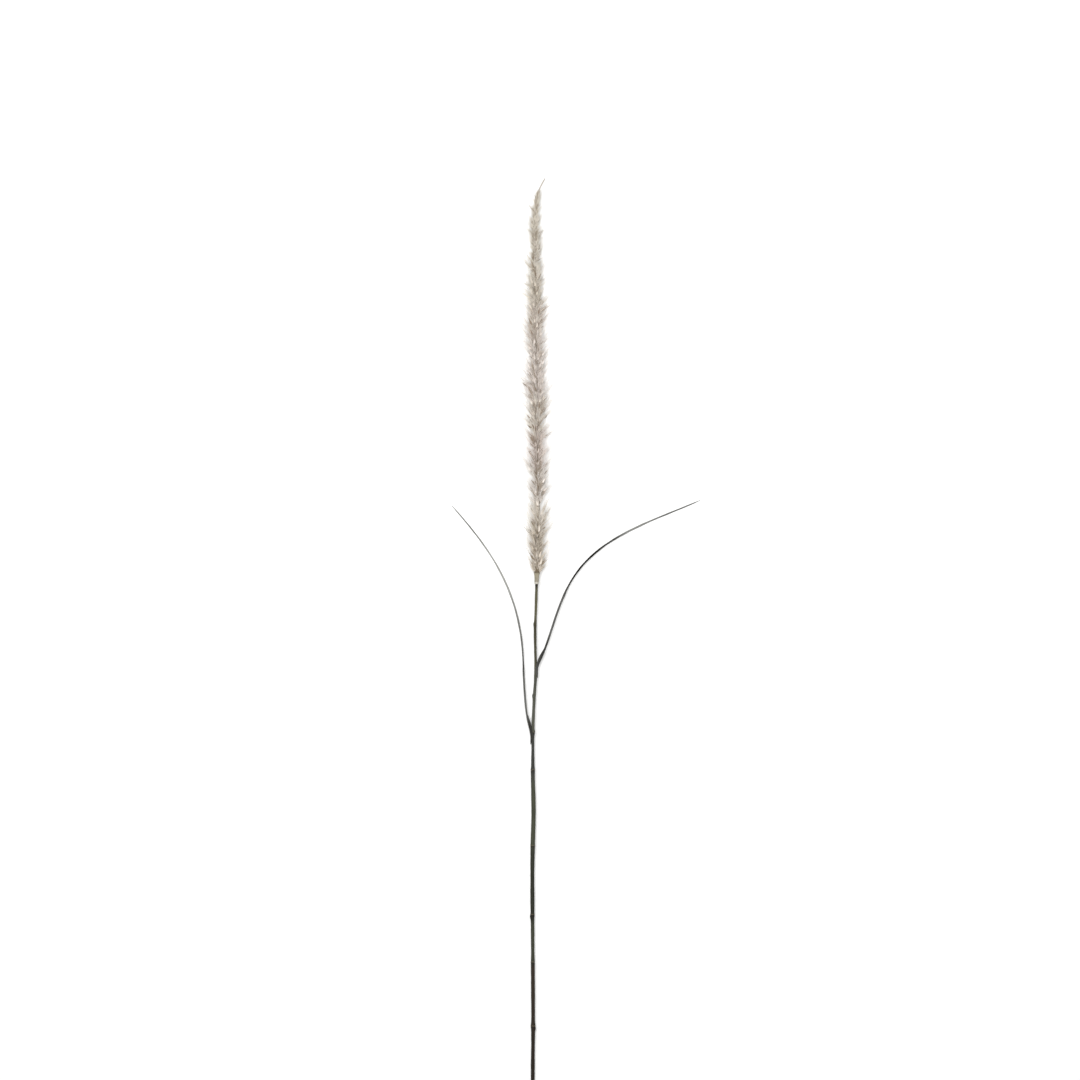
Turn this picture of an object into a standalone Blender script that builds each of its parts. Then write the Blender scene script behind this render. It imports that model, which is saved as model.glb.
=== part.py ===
"""A dried fountain grass stem, cut and laid down: a noded stem, two narrow leaves,
a pale collar and one long bristly plume.

Metres, +Z up. It lies on the surface Z = 0 with the plume towards +Y, and the
origin is in the middle of its length and width, on that surface. It rests on the
flattened underside of the plume, the cut end of the stem and the two leaf tips.
"""

import math

import bmesh
import bpy
import numpy as np
from mathutils import Matrix, Vector
from mathutils.geometry import interpolate_bezier

# Along the stem, which runs from the cut end at -Y to the plume at +Y
CUT_END_Y = -0.500
STEM_TOP_Y = 0.1450
CUT_END_AXIS_Z = 0.0018
PLUME_AXIS_Z = 0.0082

# Gap kept between pieces that touch
GAP = 0.0003
# Points closer than this are one, and edges sharper than this are shaded sharp
WELD_DISTANCE = 0.000001
SHARP_ANGLE = math.radians(50)

# The stem's wander from side to side: (y, x)
STEM_LINE = [
    (-0.500, -0.0384),
    (-0.390, -0.0394),
    (-0.300, -0.0391),
    (-0.264, -0.0388),
    (-0.200, -0.0391),
    (-0.125, -0.0395),
    (-0.100, -0.0391),
    (-0.070, -0.0384),
    (-0.032, -0.0391),
    (0.000, -0.0390),
    (0.030, -0.0379),
    (0.056, -0.0365),
    (0.092, -0.0370),
    (0.115, -0.0362),
    (0.145, -0.0354),
]

# The stem's diameter between its nodes: (y, diameter)
STEM_GIRTH = [
    (-0.500, 0.0036),
    (-0.404, 0.0034),
    (-0.300, 0.0034),
    (-0.210, 0.0035),
    (-0.200, 0.0031),
    (-0.168, 0.0032),
    (-0.160, 0.0036),
    (-0.112, 0.0036),
    (-0.104, 0.0040),
    (-0.036, 0.0037),
    (-0.028, 0.0029),
    (-0.012, 0.0027),
    (0.050, 0.0026),
    (0.062, 0.0024),
    (0.145, 0.0024),
]

# Swollen rings where the stem is jointed: (y, added diameter, half length)
STEM_NODES = [
    (-0.4000, 0.0006, 0.0024),
    (-0.2640, 0.0007, 0.0022),
    (-0.2065, 0.0004, 0.0034),
    (-0.1635, 0.0004, 0.0020),
    (-0.1015, 0.0003, 0.0030),
    (-0.0330, 0.0003, 0.0024),
    (0.0010, 0.0002, 0.0026),
]

# Small bud scars on the stem's flank: (y, height, side), side -1 towards -X
STEM_BUDS = [
    (-0.2660, 0.0005, 1),
    (-0.1650, 0.0006, -1),
    (0.0015, 0.0004, 1),
    (0.0340, 0.0008, -1),
    (0.0985, 0.0005, -1),
]
BUD_HALF_LENGTH = 0.0022
STEM_SIDES = 12
STEM_RING_STEP = 0.0120
NODE_RING_STEPS = (-0.0060, -0.0034, -0.0016, 0.0, 0.0016, 0.0034, 0.0060)

# A leaf's gutter-shaped section, from the bottom of its sheath to its tip:
# (share of the leaf's length, half opening angle in degrees, radius, thickness, twist in degrees)
LEAF_SECTIONS = [
    (0.000, 24, 0.00196, 0.00034, 0),
    (0.012, 72, 0.00196, 0.00040, 0),
    (0.024, 96, 0.00196, 0.00042, 0),
    (0.050, 104, 0.00190, 0.00042, 0),
    (0.082, 114, 0.00180, 0.00042, 4),
    (0.102, 104, 0.00156, 0.00040, 12),
    (0.120, 64, 0.00100, 0.00036, 28),
    (0.150, 55, 0.00090, 0.00034, 44),
    (0.300, 52, 0.00092, 0.00034, 78),
    (0.500, 50, 0.00092, 0.00034, 90),
    (0.800, 46, 0.00090, 0.00032, 90),
    (0.960, 40, 0.00070, 0.00030, 90),
    (1.000, 28, 0.00036, 0.00024, 90),
]
# Share of the leaf's length up to which its sheath hugs the stem
LEAF_CLASP_END = 0.06
LEAF_ARC_POINTS = 7
LEAF_RINGS = 62
# Share of the leaf's length over which it comes down from the stem to the surface
LEAF_DROP = (0.06, 0.93)

# Each leaf: its side, the y where its sheath starts and where it leaves the stem, how slim
# its blade is, and its keel seen from above, as Bezier knots: (handle in, knot, handle out)
RIGHT_LEAF = {
    "side": 1,
    "clasp": (0.0500, 0.0575),
    "slimness": 1.0,
    "keel": [
        ((-0.0304, 0.0675), (-0.0274, 0.0765), (-0.0200, 0.0985)),
        ((-0.0145, 0.1220), (-0.0020, 0.1410), (0.0225, 0.1790)),
        ((0.0720, 0.1920), (0.1120, 0.2100), (0.1140, 0.2109)),
    ],
}
LEFT_LEAF = {
    "side": -1,
    "clasp": (-0.0100, -0.0040),
    "slimness": 0.9,
    "keel": [
        ((-0.0434, 0.0080), (-0.0446, 0.0145), (-0.0463, 0.0260)),
        ((-0.0474, 0.0505), (-0.0478, 0.0655), (-0.0500, 0.1335)),
        ((-0.0835, 0.1720), (-0.1120, 0.2050), (-0.1133, 0.2065)),
    ],
}
LEAVING_HANDLE = 0.0045
KEEL_STEPS = 60

# The collar, a thin sleeve round the top of the stem, which flares where it takes the plume
COLLAR_START_Y = 0.1345
COLLAR_END_Y = 0.1452
COLLAR_START_RADIUS = 0.00190
COLLAR_END_RADIUS = 0.00280
# Between its ends: (share of the length, radius)
COLLAR_FLARE = [(0.60, 0.00206), (0.82, 0.00236)]
COLLAR_RIM = 0.00014
COLLAR_SIDES = 18

# The plume, out to the tips of its bristles: (y, axis x, axis z, radius)
PLUME_SECTIONS = [
    (0.1456, -0.0353, 0.0082, 0.0036),
    (0.1490, -0.0351, 0.0082, 0.0060),
    (0.1540, -0.0350, 0.0082, 0.0081),
    (0.1640, -0.0349, 0.0082, 0.0095),
    (0.1720, -0.0347, 0.0082, 0.0100),
    (0.1860, -0.0341, 0.0082, 0.0101),
    (0.2050, -0.0339, 0.0082, 0.0098),
    (0.2400, -0.0346, 0.0082, 0.0104),
    (0.3050, -0.0356, 0.0082, 0.0103),
    (0.3450, -0.0362, 0.0082, 0.0101),
    (0.3760, -0.0366, 0.0081, 0.0097),
    (0.4120, -0.0367, 0.0078, 0.0084),
    (0.4300, -0.0371, 0.0076, 0.0068),
    (0.4540, -0.0370, 0.0074, 0.0058),
    (0.4680, -0.0364, 0.0073, 0.0050),
    (0.4800, -0.0352, 0.0072, 0.0035),
    (0.4890, -0.0336, 0.0072, 0.0019),
    (0.4930, -0.0318, 0.0072, 0.0008),
    (0.5000, -0.0280, 0.0072, 0.0003),
]
PLUME_RINGS = 56
PLUME_SIDES = 18

# Plain colours of the five pieces
STEM_GREEN = (0.072, 0.070, 0.043, 1.0)
LEAF_GREY_GREEN = (0.060, 0.058, 0.050, 1.0)
COLLAR_BEIGE = (0.376, 0.352, 0.262, 1.0)
PLUME_CREAM = (0.560, 0.480, 0.400, 1.0)


def smooth(stations, places):
    """Smooth curves through stations (place, value, ...), with no overshoot, read at each place."""
    table = np.array(stations, dtype=float)
    knots, values = table[:, 0], table[:, 1:]
    places = np.clip(np.atleast_1d(np.asarray(places, dtype=float)), knots[0], knots[-1])
    steps = np.diff(knots)[:, None]
    rises = np.diff(values, axis=0) / steps
    slopes = np.zeros_like(values)
    before, after = rises[:-1], rises[1:]
    same_way = before * after > 0
    product = np.where(same_way, before * after, 0.0)
    total = np.where(same_way, before + after, 1.0)
    slopes[1:-1] = 2.0 * product / total
    slopes[0], slopes[-1] = rises[0], rises[-1]
    span = np.clip(np.searchsorted(knots, places, side="right") - 1, 0, len(knots) - 2)
    step = steps[span]
    t = (places[:, None] - knots[span][:, None]) / step
    start = values[span] * (1 + 2 * t) * (1 - t) ** 2 + slopes[span] * step * t * (1 - t) ** 2
    end = values[span + 1] * t * t * (3 - 2 * t) + slopes[span + 1] * step * t * t * (t - 1)
    return start + end


def smooth_at(stations, place):
    """The values of smooth() at a single place."""
    return [float(value) for value in smooth(stations, place)[0]]


def stem_axis(y):
    """The point of the stem's axis at y: it climbs evenly from the cut end to the plume."""
    climb = (y - CUT_END_Y) / (STEM_TOP_Y - CUT_END_Y)
    z = CUT_END_AXIS_Z + (PLUME_AXIS_Z - CUT_END_AXIS_Z) * climb
    return Vector((smooth_at(STEM_LINE, y)[0], y, z))


def stem_radius(y, angle):
    """The stem's radius at y, with its swollen nodes and its bud scars; angle 0 faces +X."""
    diameter = smooth_at(STEM_GIRTH, y)[0]
    for node_y, added, half_length in STEM_NODES:
        diameter += added * math.exp(-(((y - node_y) / half_length) ** 2))
    radius = diameter / 2
    for bud_y, height, side in STEM_BUDS:
        facing = max(0.0, side * math.cos(angle))
        radius += height * facing**3 * math.exp(-(((y - bud_y) / BUD_HALF_LENGTH) ** 2))
    return radius


def principled(name, colour, roughness):
    """A plain material with a Principled shader."""
    material = bpy.data.materials.new(name)
    material.use_nodes = True
    shader = material.node_tree.nodes["Principled BSDF"]
    shader.inputs["Base Color"].default_value = colour
    shader.inputs["Roughness"].default_value = roughness
    shader.inputs["Metallic"].default_value = 0.0
    return material


def add_object(name, bm, material, parent):
    """Closes a bmesh into a named object, shaded smooth, under the parent."""
    bmesh.ops.recalc_face_normals(bm, faces=bm.faces)
    mesh = bpy.data.meshes.new(name)
    bm.to_mesh(mesh)
    bm.free()
    mesh.shade_smooth()
    mesh.set_sharp_from_angle(angle=SHARP_ANGLE)
    mesh.materials.append(material)
    piece = bpy.data.objects.new(name, mesh)
    bpy.context.collection.objects.link(piece)
    piece.parent = parent
    return piece


def loft(rings):
    """A closed bmesh skinned over rings of points, each with as many points as the next."""
    bm = bmesh.new()
    loops = [[bm.verts.new(point) for point in ring] for ring in rings]
    for lower, upper in zip(loops, loops[1:]):
        for i in range(len(lower)):
            j = (i + 1) % len(lower)
            bm.faces.new((lower[i], lower[j], upper[j], upper[i]))
    bm.faces.new(loops[0])
    bm.faces.new(loops[-1])
    return bm


def stem_stations():
    """The y of each ring of the stem: even steps, and closer ones at the nodes and buds."""
    count = round((STEM_TOP_Y - CUT_END_Y) / STEM_RING_STEP)
    even = [CUT_END_Y + (STEM_TOP_Y - CUT_END_Y) * i / count for i in range(count + 1)]
    marks = [node[0] for node in STEM_NODES] + [bud[0] for bud in STEM_BUDS]
    close = [mark + step for mark in marks for step in NODE_RING_STEPS]
    kept = []
    shortest = min(b - a for a, b in zip(NODE_RING_STEPS, NODE_RING_STEPS[1:])) * 0.9
    for y in sorted(even + close):
        if not kept or y - kept[-1] > shortest:
            kept.append(y)
    kept[-1] = STEM_TOP_Y
    return kept


def make_stem(material, parent):
    """The stem, one solid from its cut end to its top inside the collar."""
    rings = []
    for y in stem_stations():
        centre = stem_axis(y)
        ring = []
        for i in range(STEM_SIDES):
            angle = 2 * math.pi * i / STEM_SIDES
            radius = stem_radius(y, angle)
            ring.append(centre + Vector((radius * math.cos(angle), 0, radius * math.sin(angle))))
        rings.append(ring)
    return add_object("stem", loft(rings), material, parent)


def keel_knots(leaf):
    """The leaf's whole keel: straight along the stem in its clasp, then out along its own knots."""
    start_y, leave_y = leaf["clasp"]
    offset = leaf["side"] * LEAF_SECTIONS[0][2]
    start = (stem_axis(start_y).x + offset, start_y)
    leave = (stem_axis(leave_y).x + offset, leave_y)
    away = (leave[0], leave_y + LEAVING_HANDLE)
    return [(start, start, leave), (start, leave, away)] + leaf["keel"]


def keel_points(knots, count):
    """Points at even steps along a Bezier keel, seen from above."""
    dense = []
    for (_, start, leave), (arrive, end, _) in zip(knots, knots[1:]):
        corners = [Vector((*corner, 0.0)) for corner in (start, leave, arrive, end)]
        dense += interpolate_bezier(*corners, KEEL_STEPS)[:-1]
    dense.append(Vector((*knots[-1][1], 0.0)))
    line = np.array(dense)
    walked = np.concatenate([[0.0], np.cumsum(np.linalg.norm(np.diff(line, axis=0), axis=1))])
    even = np.linspace(0.0, walked[-1], count)
    return np.stack([np.interp(even, walked, line[:, i]) for i in range(3)], axis=1)


def ease(share):
    """0 to 1 with a level start and a level end."""
    share = min(max(share, 0.0), 1.0)
    return share * share * (3 - 2 * share)


def make_leaf(name, leaf, material, parent):
    """One leaf: a gutter that clasps the stem, leaves it, twists and comes down to the surface."""
    side = leaf["side"]
    line = keel_points(keel_knots(leaf), LEAF_RINGS)
    shares = np.linspace(0.0, 1.0, LEAF_RINGS)
    sections = smooth(LEAF_SECTIONS, shares)
    tip_thickness = sections[-1][2]
    for i, share in enumerate(shares):
        down = ease((share - LEAF_DROP[0]) / (LEAF_DROP[1] - LEAF_DROP[0]))
        line[i, 2] = stem_axis(line[i, 1]).z * (1 - down) + tip_thickness / 2 * down
    rings = []
    for i, (opening, radius, thickness, twist) in enumerate(sections):
        slim = ease((shares[i] - LEAF_CLASP_END) / LEAF_CLASP_END)
        radius *= 1 - (1 - leaf["slimness"]) * slim
        ahead, behind = line[min(i + 1, LEAF_RINGS - 1)], line[max(i - 1, 0)]
        along = Vector(ahead - behind).normalized()
        outward = along.cross(Vector((0, 0, 1))).normalized() * side
        outward = Matrix.Rotation(-side * math.radians(twist), 3, along) @ outward
        across = outward.cross(along)
        centre = Vector(line[i]) - outward * radius
        half = math.radians(opening)
        arc = [half * (2 * j / (LEAF_ARC_POINTS - 1) - 1) for j in range(LEAF_ARC_POINTS)]
        outer = [(radius + thickness / 2, angle) for angle in arc]
        inner = [(radius - thickness / 2, angle) for angle in reversed(arc)]
        ring = []
        for reach, angle in outer + inner:
            ring.append(centre + (outward * math.cos(angle) + across * math.sin(angle)) * reach)
        rings.append(ring)
    settle_on_surface(rings)
    return add_object(name, loft(rings), material, parent)


def settle_on_surface(rings):
    """Lowers a leaf bit by bit towards its tip, until its lowest point meets the surface."""
    lowest = min(point.z for ring in rings for point in ring)
    for i, ring in enumerate(rings):
        share = ease(i / (len(rings) - 1) / LEAF_DROP[1])
        for point in ring:
            point.z -= lowest * share


def make_collar(material, parent):
    """The collar: a turned sleeve that widens upwards, with a thicker rim at its lower end."""
    start, end = stem_axis(COLLAR_START_Y), stem_axis(COLLAR_END_Y)
    length = (end - start).length
    inner = stem_radius(COLLAR_END_Y, 0.0) + GAP
    rim = COLLAR_RIM
    profile = [
        (inner, 0.0),
        (COLLAR_START_RADIUS, 0.0),
        (COLLAR_START_RADIUS + rim, 2 * rim),
        (COLLAR_START_RADIUS + rim, 6 * rim),
        (COLLAR_START_RADIUS, 10 * rim),
        *[(radius, share * length) for share, radius in COLLAR_FLARE],
        (COLLAR_END_RADIUS, length - 2 * rim),
        (COLLAR_END_RADIUS - rim, length),
        (inner, length),
    ]
    bm = bmesh.new()
    corners = [bm.verts.new((radius, 0.0, height)) for radius, height in profile]
    edges = [bm.edges.new((a, b)) for a, b in zip(corners, corners[1:] + corners[:1])]
    bmesh.ops.spin(
        bm,
        geom=corners + edges,
        cent=(0, 0, 0),
        axis=(0, 0, 1),
        angle=2 * math.pi,
        steps=COLLAR_SIDES,
        use_merge=True,
    )
    bmesh.ops.remove_doubles(bm, verts=bm.verts, dist=WELD_DISTANCE)
    collar = add_object("collar", bm, material, parent)
    collar.location = start
    collar.rotation_euler = Vector((0, 0, 1)).rotation_difference(end - start).to_euler()
    return collar


def make_plume(material, parent):
    """The plume's solid, which reaches the bristles' tips and is flat where it lies."""
    start, end = PLUME_SECTIONS[0][0], PLUME_SECTIONS[-1][0]
    even = np.linspace(start, end, PLUME_RINGS - len(PLUME_SECTIONS) // 2)
    marks = [section[0] for section in PLUME_SECTIONS[:4] + PLUME_SECTIONS[-5:]]
    stations = sorted(set(np.round(np.concatenate([even, marks]), 4)))
    rings = []
    for y in stations:
        x, z, radius = smooth_at(PLUME_SECTIONS, y)
        ring = []
        for i in range(PLUME_SIDES):
            angle = 2 * math.pi * (i + 0.5) / PLUME_SIDES
            height = max(z + radius * math.sin(angle), 0.0)
            ring.append(Vector((x + radius * math.cos(angle), y, height)))
        rings.append(ring)
    return add_object("plume", loft(rings), material, parent)


def main():
    for leftover in list(bpy.data.objects):
        bpy.data.objects.remove(leftover)
    parent = bpy.data.objects.new("fountain_grass_stem", None)
    bpy.context.collection.objects.link(parent)
    leaf_material = principled("dry_leaf", LEAF_GREY_GREEN, 0.55)
    make_stem(principled("dry_stem", STEM_GREEN, 0.5), parent)
    make_leaf("leaf_right", RIGHT_LEAF, leaf_material, parent)
    make_leaf("leaf_left", LEFT_LEAF, leaf_material, parent)
    make_collar(principled("pale_collar", COLLAR_BEIGE, 0.6), parent)
    make_plume(principled("bristle_plume", PLUME_CREAM, 0.8), parent)


main()
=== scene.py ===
"""A cut stem of dried fountain grass with its looks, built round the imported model.

The culm, the two leaves, the collar and the plume's axis, spikelets and bristles are made as
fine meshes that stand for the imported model's plain solids. Each has its own operator, with one
more for the stage.
"""

import math

import bpy
import numpy as np
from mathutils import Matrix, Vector


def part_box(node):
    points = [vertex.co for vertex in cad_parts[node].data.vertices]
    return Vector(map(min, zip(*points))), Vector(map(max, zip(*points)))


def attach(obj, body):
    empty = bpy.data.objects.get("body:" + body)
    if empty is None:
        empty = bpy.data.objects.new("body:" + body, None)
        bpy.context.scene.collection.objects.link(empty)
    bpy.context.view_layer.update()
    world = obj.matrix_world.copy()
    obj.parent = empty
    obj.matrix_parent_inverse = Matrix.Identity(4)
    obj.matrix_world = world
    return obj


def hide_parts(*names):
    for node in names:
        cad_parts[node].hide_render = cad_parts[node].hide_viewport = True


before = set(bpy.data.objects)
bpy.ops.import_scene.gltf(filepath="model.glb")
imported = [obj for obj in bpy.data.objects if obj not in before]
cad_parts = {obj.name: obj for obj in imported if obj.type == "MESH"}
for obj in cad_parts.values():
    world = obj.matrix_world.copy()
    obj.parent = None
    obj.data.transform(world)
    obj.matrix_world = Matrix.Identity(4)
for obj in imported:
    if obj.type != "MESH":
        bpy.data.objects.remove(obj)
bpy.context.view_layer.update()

bl_info = {
    "name": "Dried fountain grass stem",
    "version": (1, 0, 0),
    "blender": (4, 5, 0),
    "location": "3D View > Sidebar > Grass stem",
    "description": "Makes a cut stem of dried fountain grass: culm, leaves, collar and plume",
    "category": "Add Mesh",
}

BAKE_MAP = "OFBake"
# How many strips, side by side on the bake map, a long piece and a short one are cut into, and
# how high the closed ends are there
LONG_STRIPS, SHORT_STRIPS = 8, 3
CAP_MAP_HEIGHT = 0.004
GOLDEN_TURN = math.pi * (3 - math.sqrt(5))
UP = np.array([0.0, 0.0, 1.0])

# Joints of the culm: (y, added diameter, half length), in metres
CULM_NODES = [
    (-0.4000, 0.0006, 0.0024), (-0.2640, 0.0007, 0.0022), (-0.2065, 0.0004, 0.0034),
    (-0.1635, 0.0004, 0.0020), (-0.1015, 0.0003, 0.0030), (-0.0330, 0.0003, 0.0024),
    (0.0010, 0.0002, 0.0026),
]
# Bud scars on the culm's flank: (y, height, side), side -1 towards -X
CULM_BUDS = [
    (-0.2660, 0.0005, 1), (-0.1650, 0.0006, -1), (0.0015, 0.0004, 1),
    (0.0340, 0.0008, -1), (0.0985, 0.0005, -1),
]
CULM_MARKS = [mark[0] for mark in CULM_NODES + CULM_BUDS]
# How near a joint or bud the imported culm's rings still show its swelling, and how near it the
# fine culm's rings are close together
CLEAR_OF_MARKS = 0.005
CLOSE_REACH = 0.0030
# How far inside its two ends the culm's even rings start and end
CULM_BODY_START, CULM_BODY_END = 0.0016, 0.0004
# Rings of the culm's cut face: (share of its radius, how far they are sunk). The first are pith.
CUT_FACE = [(0.22, 0.00022), (0.5, 0.00024), (0.74, 0.00020), (0.9, 0.00004), (0.985, 0.0)]
PITH_RINGS = 4
# Rings of the culm's rounded top: (share of its radius, rise)
CULM_TOP = [(0.93, 0.0002), (0.6, 0.0003), (0.25, 0.00034)]
CULM_SEED = 11
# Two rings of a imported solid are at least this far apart
RING_GAP = 0.0002
# Angles from which edges are drawn sharp: on the culm, and on the leaves and the collar
CULM_SHARP, THIN_SHARP = math.radians(50), math.radians(60)

# The culm's colour from its cut end to its top: (y, which colour, how bright it is there)
CULM_TONES = [
    (-0.5000, "lower", 0.72), (-0.2760, "lower", 0.68), (-0.2620, "lower", 0.95),
    (-0.2110, "lower", 1.10), (-0.2085, "lower", 0.50), (-0.2070, "middle", 0.80),
    (-0.2020, "middle", 1.00), (-0.1720, "middle", 1.06), (-0.1670, "middle", 0.36),
    (-0.1620, "middle", 0.34), (-0.1560, "middle", 0.60), (-0.1080, "middle", 0.64),
    (-0.1015, "green", 0.84), (-0.0860, "green", 0.90), (-0.0720, "green", 1.06),
    (-0.0500, "green", 0.92), (-0.0350, "slate", 1.20), (-0.0320, "slate", 1.00),
    (0.0000, "slate", 1.05), (0.0020, "fork", 1.25), (0.0120, "fork", 1.20),
    (0.0480, "fork", 1.00), (0.0600, "upper", 0.82), (0.0720, "upper", 0.60),
    (0.0980, "upper", 0.54), (0.1050, "upper", 1.20), (0.1300, "upper", 0.80),
]

# A leaf's gutter section, from its sheath's foot to its tip:
# (share of the length, half opening in degrees, radius, thickness, twist in degrees)
LEAF_SECTIONS = [
    (0.000, 24, 0.00196, 0.00034, 0), (0.012, 72, 0.00196, 0.00040, 0),
    (0.024, 96, 0.00196, 0.00042, 0), (0.050, 104, 0.00190, 0.00042, 0),
    (0.082, 114, 0.00180, 0.00042, 4), (0.102, 104, 0.00156, 0.00040, 12),
    (0.120, 78, 0.00124, 0.00036, 34), (0.150, 66, 0.00120, 0.00034, 54),
    (0.300, 54, 0.00106, 0.00034, 82), (0.500, 52, 0.00102, 0.00034, 90),
    (0.800, 48, 0.00098, 0.00032, 90), (0.960, 42, 0.00084, 0.00030, 90),
    (1.000, 28, 0.00036, 0.00024, 90),
]
# Shares of a leaf's length: where its clasp ends, up to where its rings are close together, and
# between which it comes down to the floor
LEAF_CLASP_END = 0.06
LEAF_CLOSE_END = 0.16
LEAF_DROP = (0.06, 0.93)
# Length of the Bezier handle where a leaf leaves the culm
LEAVING_HANDLE = 0.0045
# Each leaf: its side, the seed of its waviness, where its sheath starts and leaves the culm, how
# slim its blade is, its keel seen from above as Bezier knots (handle in, knot, handle out), and
# its colour as (share of the length, how pale it is there). The paleness is partly real
# bleaching and partly painted light where the blade turns to the light.
RIGHT_LEAF = {
    "side": 1,
    "seed": 37,
    "clasp": (0.0500, 0.0575),
    "slimness": 1.0,
    "keel": [
        ((-0.0304, 0.0675), (-0.0274, 0.0765), (-0.0200, 0.0985)),
        ((-0.0145, 0.1220), (-0.0020, 0.1410), (0.0225, 0.1790)),
        ((0.0720, 0.1920), (0.1120, 0.2100), (0.1140, 0.2109)),
    ],
    "tones": [
        (0.00, 0.20), (0.10, 0.05), (0.14, 0.08), (0.18, 0.28), (0.25, 0.26), (0.32, 0.24),
        (0.38, 0.12), (0.42, -0.03), (0.54, -0.03), (0.64, 0.17), (0.70, 0.64), (0.78, 0.66),
        (0.84, 0.33), (0.92, 0.35), (1.00, 0.50),
    ],
}
LEFT_LEAF = {
    "side": -1,
    "seed": 31,
    "clasp": (-0.0100, -0.0040),
    "slimness": 0.9,
    "keel": [
        ((-0.0434, 0.0080), (-0.0446, 0.0145), (-0.0463, 0.0260)),
        ((-0.0474, 0.0505), (-0.0478, 0.0655), (-0.0500, 0.1335)),
        ((-0.0835, 0.1720), (-0.1120, 0.2050), (-0.1133, 0.2065)),
    ],
    "tones": [
        (0.00, 0.05), (0.08, 0.05), (0.14, 0.34), (0.26, 0.28), (0.32, 0.06), (0.38, 0.36),
        (0.50, 0.48), (0.56, 0.70), (0.62, 0.98), (0.70, 1.00), (0.80, 0.82), (0.88, 0.50),
        (0.95, 0.44), (1.00, 0.50),
    ],
}

# How the collar widens between its two ends: (share of the length, share of the widening)
COLLAR_FLARE = [(0.0, 0.0), (0.12, 0.02), (0.60, 0.18), (0.82, 0.51), (1.0, 1.0)]
COLLAR_OUTSIDE_RINGS, COLLAR_INSIDE_RINGS = 20, 6
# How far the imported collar's rim stands out at its foot
COLLAR_RIM = 0.00014
# Waves of the collar's ragged edge: (how many go round, height)
COLLAR_EDGE = [(3, 0.5), (7, 0.35), (13, 0.3), (19, 0.25)]
COLLAR_SEED = 23

# How far tufts reach on the plume's two sides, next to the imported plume's: (y, -X side, +X side)
PLUME_SIDES = [
    (0.145, 0.86, 0.95), (0.160, 0.95, 0.95), (0.170, 1.12, 0.88), (0.190, 1.08, 1.00),
    (0.210, 0.90, 0.95), (0.228, 1.32, 1.04), (0.260, 1.00, 1.15), (0.300, 1.00, 1.04),
    (0.338, 1.18, 1.02), (0.365, 1.00, 0.98), (0.395, 1.04, 0.98), (0.412, 1.25, 1.06),
    (0.427, 0.92, 1.04), (0.458, 1.30, 1.05), (0.470, 1.70, 1.25), (0.485, 1.25, 1.25),
    (0.500, 1.00, 1.00),
]
# Short stretches of the axis where the tufts on one side are stunted: (y, half length, side).
# Tufts near one sway and splay less: not at all up to the first reach, as ever from the second.
BARE_SPOTS = [(0.2010, 0.0060, 1)]
CALM_REACH = (0.0075, 0.0125)
STUNTED_LENGTH = 0.0012
# Between which y the plume gets neater towards its top
NEATER = (0.35, 0.41)
# Tufts that stand out from the rest: (y, side, lean in degrees, length, tone). A tone over 1 marks
# a pale tuft with a large pale spikelet.
STANDING_OUT = [
    (0.3135, -1, 66, 0.0165, 0.22), (0.2140, 1, 62, 0.0125, 0.45), (0.1955, 1, 27, 0.0190, 0.55),
    (0.1938, 1, 22, 0.0210, 0.10), (0.1475, 1, 48, 0.0120, 0.50), (0.1775, 0.30, 42, 0.0120, 2),
    (0.1545, 0.30, 42, 0.0130, 2), (0.1455, 0.30, 42, 0.0115, 2),
]
# Zones along the plume, side by side on the bake map
PLUME_ZONES = 12
# How rosy, how green and how dusky the plume is along its length: (share, rose, olive, dusk)
PLUME_TINTS = [
    (0.00, 0.10, 0.75, 0.66), (0.03, 0.35, 0.70, 0.58), (0.06, 0.50, 0.62, 0.25),
    (0.12, 0.30, 0.78, 0.10), (0.15, 0.30, 0.40, 0.06), (0.18, 0.35, 0.30, 0.00),
    (0.23, 0.25, 0.08, 0.00), (0.30, 0.80, 0.05, 0.00), (0.35, 0.35, 0.20, 0.00),
    (0.39, 0.30, 0.50, 0.08), (0.44, 0.30, 0.30, 0.00), (0.50, 0.75, 0.05, 0.00),
    (0.56, 0.40, 0.25, 0.00), (0.60, 0.75, 0.05, 0.00), (0.66, 0.35, 0.50, 0.22),
    (0.77, 0.20, 0.65, 0.18), (0.83, 0.15, 0.55, 0.00), (1.00, 0.05, 0.75, 0.05),
]
AXIS_RINGS, AXIS_SIDES = 300, 14
# How far up the plume a tuft's tips stand from its foot
TUFT_RISE = 0.0090
# How unevenly tufts lean at the foot and at the tip, in degrees
LEAN_NOISE = (10.0, 11.0)
# Least and most share of the plume's radius that the short inner tufts reach
INNER_REACH = (0.42, 0.62)
# Tones of the tufts, least and most: worn to the tip, dull with a fresh tip, and pale
WORN_TONES, DULL_TONES, PALE_TONES = (0.0, 0.2), (0.40, 0.60), (0.72, 1.0)
# The bristles' pieces, each bristle's points as shares of its length, its thickness at all of
# them but the tip, how many sides it has, and the width between its edges on the bake map
BRISTLE_NAMES = ("short", "middling", "long", "longest")
BRISTLE_KNOTS = (0.0, 0.36, 0.72, 1.0)
BRISTLE_TAPER = (0.95, 1.0, 0.7)
BRISTLE_SIDES, BRISTLE_MAP_WIDTH = 3, 0.0035
# How many of a tuft's longest bristles may stray beyond it
STRAYS = 4
# The same for a scale of a spikelet, the size of a large spikelet, and the scales' two tones
SPIKELET_KNOTS = (0.0, 0.16, 0.36, 0.6, 0.82, 1.0)
SPIKELET_GIRTHS = (0.40, 0.86, 1.0, 0.74, 0.34)
SPIKELET_SIDES, SPIKELET_MAP_WIDTH = 5, 0.003
LARGE_SPIKELET = 1.25
PALE_SCALE, DARK_SCALE = 0.88, 0.12
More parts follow.
